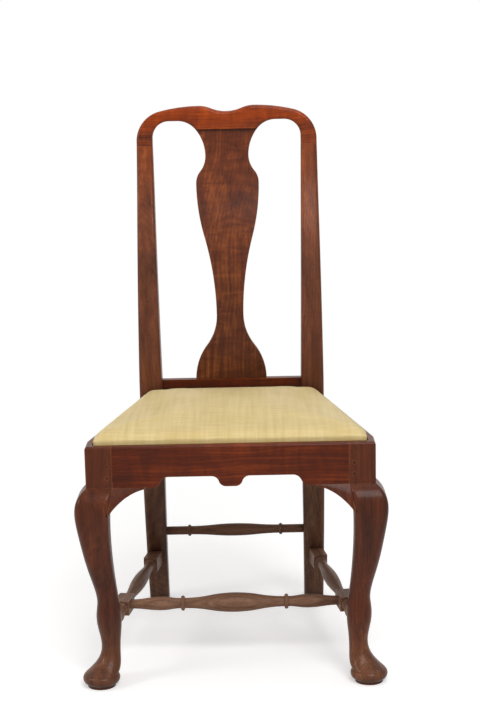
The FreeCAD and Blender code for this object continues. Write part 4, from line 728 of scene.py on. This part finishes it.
@dataclass
class SlipSeat:
    """The loose seat: stuffed cushion in silk, linen and webbing below it, and the tacks that hold the cover.

    Its plan and heights come from the CAD nodes. The fields are what the CAD doesn't hold.
    """

    cover_skin: float = 0.0010
    front_round: float = 0.006
    small_round: float = 0.003
    shoulder_start: float = 0.007  # above the rails, where the upright sides end
    shoulder_reach: float = 0.022
    shoulder_rise: float = 0.016
    shoulder_steps: int = 7
    swell: float = 0.011  # the most that a point moves when the cushion is stuffed
    voxel: float = 0.005
    pressure: float = 4.0
    cloth_frames: int = 20
    settle_share: float = 0.5
    settle_rounds: int = 14
    flat_top: float = 0.9  # upward part of a direction, past which the cover is the seat's top
    steep: float = 0.5  # the same, short of which it is a side
    tack_pitch: float = 0.045
    tack_radius: float = 0.004
    shank_radius: float = 0.001
    tack_seed: int = 7
    pull: float = 0.0005
    fold_depth: float = 0.0012
    fold_width: float = 0.0045
    fold_length: float = 0.035
    turn_under: float = 0.040  # border of the cover under the boards
    border_rise: float = 0.005  # how far the opening inside that border is cut into the boards' room
    room: float = 0.0032  # edge of the boards' room, in from their outline
    stuffed_edge: float = 0.012  # the same for the webbing and linen above them
    hem_inset: float = 0.0001
    hem_rise: float = 0.0005
    crisp: float = math.radians(50)
    strip_width: float = 0.05
    strip_thickness: float = 0.0012
    strip_wave: float = 0.0008
    strip_steps: int = 60
    log_place: Place = (0.0, 0.17, 0.2)
    log_step: Place = (0.31, 0.05, 0.0)

    def shoulder(self) -> float:
        """Height at which the cushion's upright sides end."""
        return high_of("front_seat_rail") + self.shoulder_start

    def looseness(self, height: float, board: float) -> float:
        """How free the cover is to move at a height: 0 at the boards' top, rising to 1 above it."""
        return clamp((height - board) / self.shoulder_start)

    def inset_corners(self, inset: float) -> List[Vector]:
        """The plan's corners, moved in from the stuffing's own.

        Args:
            inset: how far in, or out where it is less than nothing.

        Returns:
            The corners, still sharp.
        """
        corners = [Vector(corner) for corner in seat_corners()]
        moved = []
        for number, here in enumerate(corners):
            before = (here - corners[number - 1]).normalized()
            after = (corners[(number + 1) % len(corners)] - here).normalized()
            inward = Vector((-before.y, before.x)), Vector((-after.y, after.x))
            mitre = (inward[0] + inward[1]).normalized()
            moved.append(here + mitre * (inset / mitre.dot(inward[0])))
        return moved

    def sides(self, inset: float) -> List[Side]:
        """The plan's sides, each from one corner to the next."""
        corners = self.inset_corners(inset)
        return list(zip(corners, corners[1:] + corners[:1]))

    def plan(self, inset: float, front_round: float) -> List[Point]:
        """The seat's outline with rounded corners.

        Args:
            inset: how far in from the stuffing's own outline.
            front_round: rounding of the two front corners. The others have the small one.

        Returns:
            The outline's points.
        """
        corners = self.inset_corners(inset)
        front = (0, len(corners) - 1)
        return rounded_plan([(spot, front_round if number in front else self.small_round)
                             for number, spot in enumerate(corners)])

    def cushion_blank(self) -> Mesh:
        """Makes the cushion before it is stuffed: upright sides, and shoulders that round over into a low top.

        Returns:
            The closed mesh.
        """
        start = self.shoulder()
        rings = [(-self.cover_skin, low_of("seat_cover") + self.cover_skin), (-self.cover_skin, start)]
        for step in range(1, self.shoulder_steps + 1):
            turn = step / self.shoulder_steps * math.pi / 2
            inset = self.shoulder_reach * (1 - math.cos(turn))
            rings.append((inset, start + self.shoulder_rise * math.sin(turn)))
        return stack_rings("cushion_blank", [(self.plan(inset, self.front_round), z) for inset, z in rings])

    def stuff(self, item: Object) -> None:
        """Swells the cushion as cloth under pressure, held to its frame below the shoulder.

        Args:
            item: the cushion, whose mesh is replaced.
        """
        remesh = item.modifiers.new("even_cloth", "REMESH")
        remesh.mode = "VOXEL"
        remesh.voxel_size = self.voxel
        bake(item)
        first = [vertex.co.copy() for vertex in item.data.vertices]
        held = item.vertex_groups.new(name="tacked_down")
        low = self.shoulder()
        for vertex in item.data.vertices:
            held.add([vertex.index], 1.0 - clamp((vertex.co.z - low) / (self.shoulder_rise / 2)), "REPLACE")
        cloth = item.modifiers.new("stuffing", "CLOTH").settings
        cloth.use_pressure = True
        cloth.uniform_pressure_force = self.pressure
        cloth.effector_weights.gravity = 0.0
        cloth.vertex_group_mass = held.name
        for number in range(1, self.cloth_frames + 1):
            bpy.context.scene.frame_set(number)
        bake(item)
        bpy.context.scene.frame_set(1)
        item.vertex_groups.clear()
        steps = [vertex.co - start for vertex, start in zip(item.data.vertices, first)]
        share = min(1.0, self.swell / max(step.length for step in steps))
        for vertex, start, step in zip(item.data.vertices, first, steps):
            vertex.co = start + step * share

    def settle(self, item: Object) -> None:
        """Evens out the cover where it is loose, and makes its mesh finer.

        Args:
            item: the cushion, whose mesh is replaced.
        """
        loose = item.vertex_groups.new(name="loose")
        board = high_of("seat_frame_front")
        for vertex in item.data.vertices:
            loose.add([vertex.index], self.looseness(vertex.co.z, board), "REPLACE")
        settle = item.modifiers.new("settle", "SMOOTH")
        settle.factor = self.settle_share
        settle.iterations = self.settle_rounds
        settle.vertex_group = loose.name
        finer = item.modifiers.new("finer", "SUBSURF")
        finer.levels = 1
        finer.render_levels = 1
        bake(item)
        item.vertex_groups.clear()

    def snug(self, item: Object) -> None:
        """Lays the cover's sides flat against the edges of the frame boards, less and less above them.

        Sides that stand outside the boards' outline, as at the notches for the back posts, are drawn in to it.

        Args:
            item: the cushion.
        """
        board = high_of("seat_frame_front") + self.cover_skin
        sides = self.sides(-self.cover_skin)
        for vertex, outward in points_of(item):
            if outward.z > self.flat_top:
                continue
            here = vertex.co.xy
            spot, away = nearest_side(here, sides)
            step = spot - here
            outside = step.dot(away) < 0
            share = 1.0 if outside else clamp(1 - (vertex.co.z - board) / self.shoulder_start)
            if step.length < self.front_round and (outside or abs(outward.z) < self.steep):
                vertex.co.xy = here + step * share

    def sew(self, item: Object) -> None:
        """Pulls the cover in between its tacks, and folds it at the two front corners.

        Args:
            item: the cushion.
        """
        board = high_of("seat_frame_front")
        corner = Vector(seat_corners()[0])
        for vertex, outward in points_of(item):
            x, y, z = vertex.co
            along = y if abs(outward.x) > abs(outward.y) else x
            upright = 1.0 - abs(outward.z)
            tug = self.pull * (0.5 + 0.5 * math.cos(math.tau * along / self.tack_pitch)) * upright
            reach = Vector((abs(x) - corner.x, y - corner.y))
            mitre = (reach.x + reach.y) / math.sqrt(2)
            away = max(0.0, -(reach.x - reach.y) / math.sqrt(2) - self.front_round)
            fade = max(0.0, 1 - away / self.fold_length)
            fold = self.fold_depth * math.exp(-(mitre / self.fold_width) ** 2) * fade
            vertex.co -= outward * ((tug + fold) * self.looseness(z, board))

    def hem(self, item: Object) -> None:
        """Adds the taut band of cover round the edges of the frame boards.

        Args:
            item: the cushion.
        """
        outline = self.plan(self.hem_inset - self.cover_skin, self.small_round)
        rings = (outline, low_of("seat_cover")), (outline, high_of("seat_frame_front") + self.hem_rise)
        combine(item, stack_rings("hem", rings, smooth=False), "UNION")

    def hollow(self, item: Object) -> None:
        """Takes the frame's room out of the cushion from below, which leaves the cover's turned-in border.

        Args:
            item: the cushion.
        """
        board_low, board_high = (corner.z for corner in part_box("seat_frame_front"))
        below = low_of("seat_cover") - self.turn_under
        for inset, low, high in ((self.room, board_low, board_high),
                                 (self.stuffed_edge, board_low, high_of("seat_linen")),
                                 (self.turn_under, below, board_low + self.border_rise)):
            outline = self.plan(inset, self.front_round / 2)
            cut = stack_rings("frame_room", ((outline, low), (outline, high)), smooth=False)
            combine(item, cut, "DIFFERENCE")

    def lay_cloth(self, item: Object) -> None:
        """Keeps where each point lies on the flat cloth, so that the threads run on over the edges.

        Args:
            item: the cushion.
        """
        top = self.shoulder() + self.shoulder_rise
        sides = self.sides(0.0)
        mesh = item.data
        places = mesh.attributes.new(CLOTH_PLACE, "FLOAT_VECTOR", "CORNER")
        for face in mesh.polygons:
            beside = face.center.z < top + self.voxel
            outward = nearest_side(face.center.xy, sides)[1] if beside else Vector((0, 0))
            for loop in face.loop_indices:
                spot = mesh.vertices[mesh.loops[loop].vertex_index].co
                places.data[loop].vector = (spot.xy + outward * max(0.0, top - spot.z)).to_3d()

    def build_cushion(self) -> Object:
        """Makes the stuffed cushion in its silk cover.

        Returns:
            The cushion.
        """
        item = new_object("seat_cushion", self.cushion_blank())
        for step in (self.stuff, self.settle, self.snug, self.sew, self.hem, self.hollow, self.lay_cloth):
            step(item)
        for face in item.data.polygons:
            face.use_smooth = True
        item.data.set_sharp_from_angle(angle=self.crisp)
        item.data.materials.clear()
        item.data.materials.append(GOLD_SILK.material("gold_silk"))
        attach(item, "slip_seat")
        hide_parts("seat_stuffing", "seat_cover")
        return item

    def build_webbing(self) -> Object:
        """Makes three strips each way, woven over and under each other.

        Returns:
            The webbing.
        """
        long_low, long_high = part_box("lengthwise_webbing")
        cross_low, cross_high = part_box("crosswise_webbing")
        pitch = long_high.x - self.strip_width / 2
        middle = (cross_low.y + cross_high.y) / 2
        level = (long_low.z + cross_high.z) / 2
        splay = side_splay()
        bm = bmesh.new()
        for number in (-1, 0, 1):
            x = pitch * number
            y = middle + pitch * number
            reach = cross_high.x - splay * (pitch * (number + 1) + self.strip_width)
            turn = math.pi * number
            self.strip(bm, Vector((x, long_low.y, level)), Vector((x, long_high.y, level)), pitch, middle, turn)
            self.strip(bm, Vector((-reach, y, level)), Vector((reach, y, level)), pitch, 0.0, turn + math.pi)
        item = new_object("seat_webbing", mesh_from("seat_webbing", bm), JUTE.material("jute_webbing"))
        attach(item, "slip_seat")
        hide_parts("lengthwise_webbing", "crosswise_webbing")
        return item

    def strip(self, bm: Shape, start: Vector, end: Vector, pitch: float, centre: float, turn: float) -> None:
        """Adds one strip that rises and falls over the ones it crosses.

        Args:
            bm: the shape to add to.
            start: one end of its middle line.
            end: the other end.
            pitch: distance between crossings.
            centre: where along it the middle crossing is.
            turn: where its wave is at that crossing, 0 at the top and half a turn at the bottom.
        """
        along = (end - start).normalized()
        side = Vector((-along.y, along.x, 0)) * (self.strip_width / 2)
        rows = []
        for step in range(self.strip_steps + 1):
            spot = start.lerp(end, step / self.strip_steps)
            travel = spot.dot(Vector((abs(along.x), abs(along.y), 0)))
            lift = self.strip_wave * math.cos(math.pi * (travel - centre) / pitch + turn)
            rows.append([bm.verts.new(spot + side * edge + Vector((0, 0, lift + self.strip_thickness * face)))
                         for edge, face in ((-1, -0.5), (1, -0.5), (1, 0.5), (-1, 0.5))])
        bridge(bm, rows)

    def build_linen(self) -> Object:
        """Makes the linen under the stuffing, which shows between the webbing from below.

        Returns:
            The linen.
        """
        low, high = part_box("seat_linen")
        level = (low.z + high.z) / 2
        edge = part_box("seat_stuffing")[1].x - high.x
        bm = bmesh.new()
        cut = bm.faces.new([bm.verts.new((x, y, level)) for x, y in self.plan(edge, self.small_round)])
        area = cut.calc_area()
        bmesh.ops.triangulate(bm, faces=[cut])
        item = new_object("seat_linen_cloth", mesh_from("seat_linen_cloth", bm), LINEN.material("linen_weave"))
        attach(item, "slip_seat")
        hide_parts("seat_linen")
        return item

    def tack_places(self) -> List[Place]:
        """Finds the CAD model's tacks.

        Returns:
            The middle of each tack, at the height of the cover's underside.
        """
        floor = low_of("cover_tacks") + SAME
        base = low_of("seat_cover")
        heads: List[List[Vector]] = []
        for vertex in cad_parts["cover_tacks"].data.vertices:
            if vertex.co.z > floor:
                continue
            near = [head for head in heads if (head[0] - vertex.co).length < self.tack_pitch / 3]
            if near:
                near[0].append(vertex.co.copy())
            else:
                heads.append([vertex.co.copy()])
        places = []
        for head in heads:
            x, y = ((min(spot[axis] for spot in head) + max(spot[axis] for spot in head)) / 2 for axis in (0, 1))
            places.append((x, y, base))
        return places

    def build_tacks(self) -> Object:
        """Makes hand-forged tack heads under the seat, each a little different, from a node tree.

        Returns:
            The tacks.
        """
        low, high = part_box("cover_tacks")
        base = low_of("seat_cover")
        mesh = bpy.data.meshes.new("tack_places")
        mesh.from_pydata(self.tack_places(), [], [])
        item = new_object("cover_tack_heads", mesh)
        tree = tack_tree()
        modifier = item.modifiers.new("tacks", "NODES")
        modifier.node_group = tree
        sockets = {socket.name: socket.identifier for socket in tree.interface.items_tree
                   if socket.item_type == "SOCKET" and socket.in_out == "INPUT"}
        for name, value in (("Head Radius", self.tack_radius), ("Head Height", base - low.z),
                            ("Shank Radius", self.shank_radius), ("Shank Length", high.z - base),
                            ("Seed", self.tack_seed), ("Iron", IRON.material("forged_tack"))):
            modifier[sockets[name]] = value
        bake(item)
        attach(item, "slip_seat")
        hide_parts("cover_tacks")
        return item

    def dress(self) -> None:
        """Gives the seat frame's boards their bare wood."""
        boards = {"front": Grain.ACROSS, "rear": Grain.ACROSS,
                  "right": Grain.DEEP_RIGHT, "left": Grain.DEEP_LEFT}
        for number, (side, grain) in enumerate(boards.items()):
            node = f"seat_frame_{side}"
            offset = Vector(self.log_place) + Vector(self.log_step) * number
            dress_node(node, PINE.material(f"{node}_pine", grain, offset))

    def build(self) -> None:
        """Builds and dresses the whole seat."""
        for piece in (self.build_cushion(), self.build_webbing(), self.build_linen(), self.build_tacks()):
            log.info("%s: %d faces", piece.name, len(piece.data.polygons))
        self.dress()


def tack_tree() -> bpy.types.NodeTree:
    """Builds a node tree that sets a forged tack on every point, each turned and sized a little differently.

    Returns:
        The tree.
    """
    tree = bpy.data.node_groups.new("tack_row", "GeometryNodeTree")
    for name, kind in (("Places", "Geometry"), ("Head Radius", "Float"), ("Head Height", "Float"),
                       ("Shank Radius", "Float"), ("Shank Length", "Float"), ("Seed", "Int"),
                       ("Iron", "Material")):
        tree.interface.new_socket(name, in_out="INPUT", socket_type=f"NodeSocket{kind}")
    tree.interface.new_socket("Tacks", in_out="OUTPUT", socket_type="NodeSocketGeometry")
    bench = Bench(tree)
    given = bench.add("NodeGroupInput").outputs
    head = bench.add("GeometryNodeMeshCone", {
        "Vertices": 9, "Side Segments": 2, "Radius Bottom": given["Head Radius"],
        "Radius Top": given["Shank Radius"], "Depth": given["Head Height"]})
    turned = bench.add("GeometryNodeTransform", {"Geometry": head.outputs["Mesh"], "Rotation": (math.pi, 0, 0)})
    shank = bench.add("GeometryNodeMeshCylinder", {
        "Vertices": 4, "Radius": given["Shank Radius"], "Depth": given["Shank Length"]})
    rise = bench.add("ShaderNodeCombineXYZ", {"Z": bench.scaled(given["Shank Length"], 0.5)})
    raised = bench.add("GeometryNodeTransform", {
        "Geometry": shank.outputs["Mesh"], "Translation": rise.outputs["Vector"]})
    tack = bench.add("GeometryNodeJoinGeometry")
    for part in (turned, raised):
        bench.link(part.outputs["Geometry"], tack.inputs["Geometry"])
    spin = bench.add("FunctionNodeRandomValue", {
        "Min": (-0.06, -0.06, 0.0), "Max": (0.06, 0.06, math.tau), "Seed": given["Seed"]},
        data_type="FLOAT_VECTOR")
    size = bench.add("FunctionNodeRandomValue", {2: 0.9, 3: 1.02, "Seed": given["Seed"]}, data_type="FLOAT")
    points = bench.add("GeometryNodeMeshToPoints", {"Mesh": given["Places"]})
    placed = bench.add("GeometryNodeInstanceOnPoints", {
        "Points": points.outputs["Points"], "Instance": tack.outputs["Geometry"], "Rotation": spin.outputs[0],
        "Scale": size.outputs[1]})
    real = bench.add("GeometryNodeRealizeInstances", {"Geometry": placed.outputs["Instances"]})
    finish = bench.add("GeometryNodeSetMaterial", {
        "Geometry": real.outputs["Geometry"], "Material": given["Iron"]})
    bench.add("NodeGroupOutput", {"Tacks": finish.outputs["Geometry"]})
    return tree


@dataclass
class ChairFrame:
    """The joined walnut frame: back, legs, rails and stretchers, with its pins, blocks and nails."""

    log_place: Point = (0.11, -0.34)
    log_step: Point = (0.013, -0.021)
    log_turn: Tuple[int, int] = (5, 7)  # boards after which the steps across the log start again
    log_spread: float = 0.37

    @staticmethod
    def pair(name: str, finish: WoodFinish, right: Grain = Grain.UPRIGHT,
             left: Grain = Grain.UPRIGHT) -> List[Board]:
        """The right-hand and the left-hand board of a pair."""
        return [(f"right_{name}", finish, right), (f"left_{name}", finish, left)]

    def boards(self) -> List[Board]:
        """Each wooden piece with its finish and the way of its grain."""
        splayed = (Grain.DEEP_RIGHT, Grain.DEEP_LEFT)
        return [
            ("crest_rail", CREST_LIT_WALNUT, Grain.ACROSS),
            ("splat", SPLAT_WALNUT, Grain.UPRIGHT),
            *self.pair("back_post", POST_WALNUT),
            *((node, RAIL_SHADED_WALNUT, Grain.ACROSS) for node in ("shoe", "rear_seat_rail", "front_seat_rail")),
            *self.pair("seat_rail", RAIL_SHADED_WALNUT, *splayed),
            *self.pair("front_leg", WALNUT),
            *self.pair("front_knee_bracket", WALNUT),
            *self.pair("side_knee_bracket", WALNUT),
            *self.pair("side_stretcher", STRETCHER_WALNUT, *splayed),
            *((node, STRETCHER_WALNUT, Grain.ACROSS) for node in ("medial_stretcher", "rear_stretcher")),
            *((f"{joint}_pins", PIN_WOOD, Grain.DEEP) for joint in ("front_leg", "back_post", "crest_rail")),
            *self.pair("corner_block", PINE),
        ]

    def dress(self) -> None:
        """Gives every piece of the frame its finish, each board from its own place in the log."""
        for number, (node, finish, grain) in enumerate(self.boards()):
            across = [place + step * (number % turn)
                      for place, step, turn in zip(self.log_place, self.log_step, self.log_turn)]
            dress_node(node, finish.material(f"{node}_wood", grain, (*across, self.log_spread * (number + 1))))
        iron = IRON.material("forged_nail")
        for node in ("shoe_nails", "knee_bracket_nails"):
            dress_node(node, iron)


def seen_ray(bench: Bench) -> Socket:
    """Tells what the camera sees from light that only bounces about.

    Args:
        bench: the tree that asks.

    Returns:
        1 for rays from the camera, straight, mirrored or through glass, and 0 for others.
    """
    path = bench.add("ShaderNodeLightPath").outputs
    mirrored = bench.math("MAXIMUM", path["Is Glossy Ray"], path["Is Transmission Ray"])
    return bench.math("MAXIMUM", path["Is Camera Ray"], mirrored)


@dataclass(frozen=True)
class Lamp:
    """A square soft lamp: where it hangs, the point it faces, its side in metres and its power in watts."""

    name: str
    place: Place
    aim: Place
    side: float
    power: float

    def hang(self) -> None:
        """Adds the lamp to the scene."""
        data = bpy.data.lights.new(self.name, "AREA")
        data.size = self.side
        data.energy = self.power
        item = new_object(self.name, data)
        item.location = self.place
        item.rotation_euler = (Vector(self.aim) - Vector(self.place)).to_track_quat("-Z", "Y").to_euler()


@dataclass
class Studio:
    """Pale floor, soft lamps and the camera."""

    camera_place: Place = (0.0428, -2.9011, 1.1247)
    pitch: float = 11.36
    yaw: float = 0.475
    roll: float = -1.25
    lens: float = 80.0
    sensor: float = 36.0
    far: float = 100.0
    sky: float = 0.36
    floor_reach: float = 14.0
    floor_glow: float = 0.40
    floor_rough: float = 0.9
    floor_shine: float = 0.1
    shadow_reach: float = 0.55
    white_from: float = 1.25
    lamps: Tuple[Lamp, ...] = (
        Lamp("key", place=(0.8, -2.5, 2.9), aim=(0, 0, 0.4), side=1.9, power=68),
        Lamp("left_window", place=(-2.6, -1.2, 1.9), aim=(0, 0, 0.5), side=0.9, power=20),
        Lamp("top", place=(0.2, 0.4, 3.2), aim=(0, 0, 0.5), side=1.6, power=18),
    )

    def build_floor(self) -> None:
        """A wide pale floor, which keeps the chair's shadow and is plain white further off."""
        bm = bmesh.new()
        bmesh.ops.create_grid(bm, x_segments=2, y_segments=2, size=self.floor_reach)
        bench = MaterialBench("floor_paint")
        bench.set(Base_Color=srgb(238, 237, 236), Roughness=self.floor_rough,
                  Specular_IOR_Level=self.floor_shine)
        length = bench.add("ShaderNodeVectorMath", {0: bench.place()}, operation="LENGTH").outputs["Value"]
        away = bench.add("ShaderNodeMapRange", {"Value": length, "From Min": self.shadow_reach,
                                                "From Max": self.white_from}, interpolation_type="SMOOTHSTEP")
        seen = bench.math("MULTIPLY", away.outputs["Result"], seen_ray(bench))
        white = bench.add("ShaderNodeEmission", {"Color": WHITE, "Strength": 1.0})
        glow = bench.add("ShaderNodeEmission", {
            "Color": WHITE, "Strength": bench.scaled(seen_ray(bench), self.floor_glow)})
        lit = bench.add("ShaderNodeAddShader", {0: bench.shader.outputs["BSDF"], 1: glow.outputs["Emission"]})
        ground = bench.add("ShaderNodeMixShader", {
            0: seen, 1: lit.outputs["Shader"], 2: white.outputs["Emission"]})
        bench.link(ground.outputs["Shader"], bench.output.inputs["Surface"])
        new_object("floor", mesh_from("floor", bm), bench.material)

    def build_world(self) -> None:
        """Soft light from all round, and white where the camera sees past the floor."""
        world = bpy.data.worlds.new("studio")
        bpy.context.scene.world = world
        world.use_nodes = True
        bench = Bench(world.node_tree)
        level = bench.band(seen_ray(bench), (0.0, 1.0), start=self.sky)
        back = bench.add("ShaderNodeBackground", {"Color": WHITE, "Strength": level})
        bench.add("ShaderNodeOutputWorld", {"Surface": back.outputs["Background"]})

    def build_camera(self) -> None:
        """The camera at the photograph's place."""
        data = bpy.data.cameras.new("camera")
        data.lens = self.lens
        data.sensor_width = self.sensor
        data.clip_end = self.far
        item = new_object("camera", data)
        turn = Matrix.Rotation(math.radians(self.yaw), 4, "Z")
        turn = turn @ Matrix.Rotation(math.radians(90 - self.pitch), 4, "X")
        turn = turn @ Matrix.Rotation(math.radians(self.roll), 4, "Z")
        item.matrix_world = Matrix.Translation(self.camera_place) @ turn
        bpy.context.scene.camera = item

    def build(self) -> None:
        """Sets up floor, light and camera."""
        self.build_floor()
        self.build_world()
        for lamp in self.lamps:
            lamp.hang()
        self.build_camera()
        bpy.context.scene.view_settings.view_transform = "Standard"


def main() -> None:
    """Builds the chair's looks and the studio."""
    logging.basicConfig(level=logging.INFO, format="%(message)s")
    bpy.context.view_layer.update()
    ChairFrame().dress()
    SlipSeat().build()
    Studio().build()


if __name__ == "__main__":
    main()
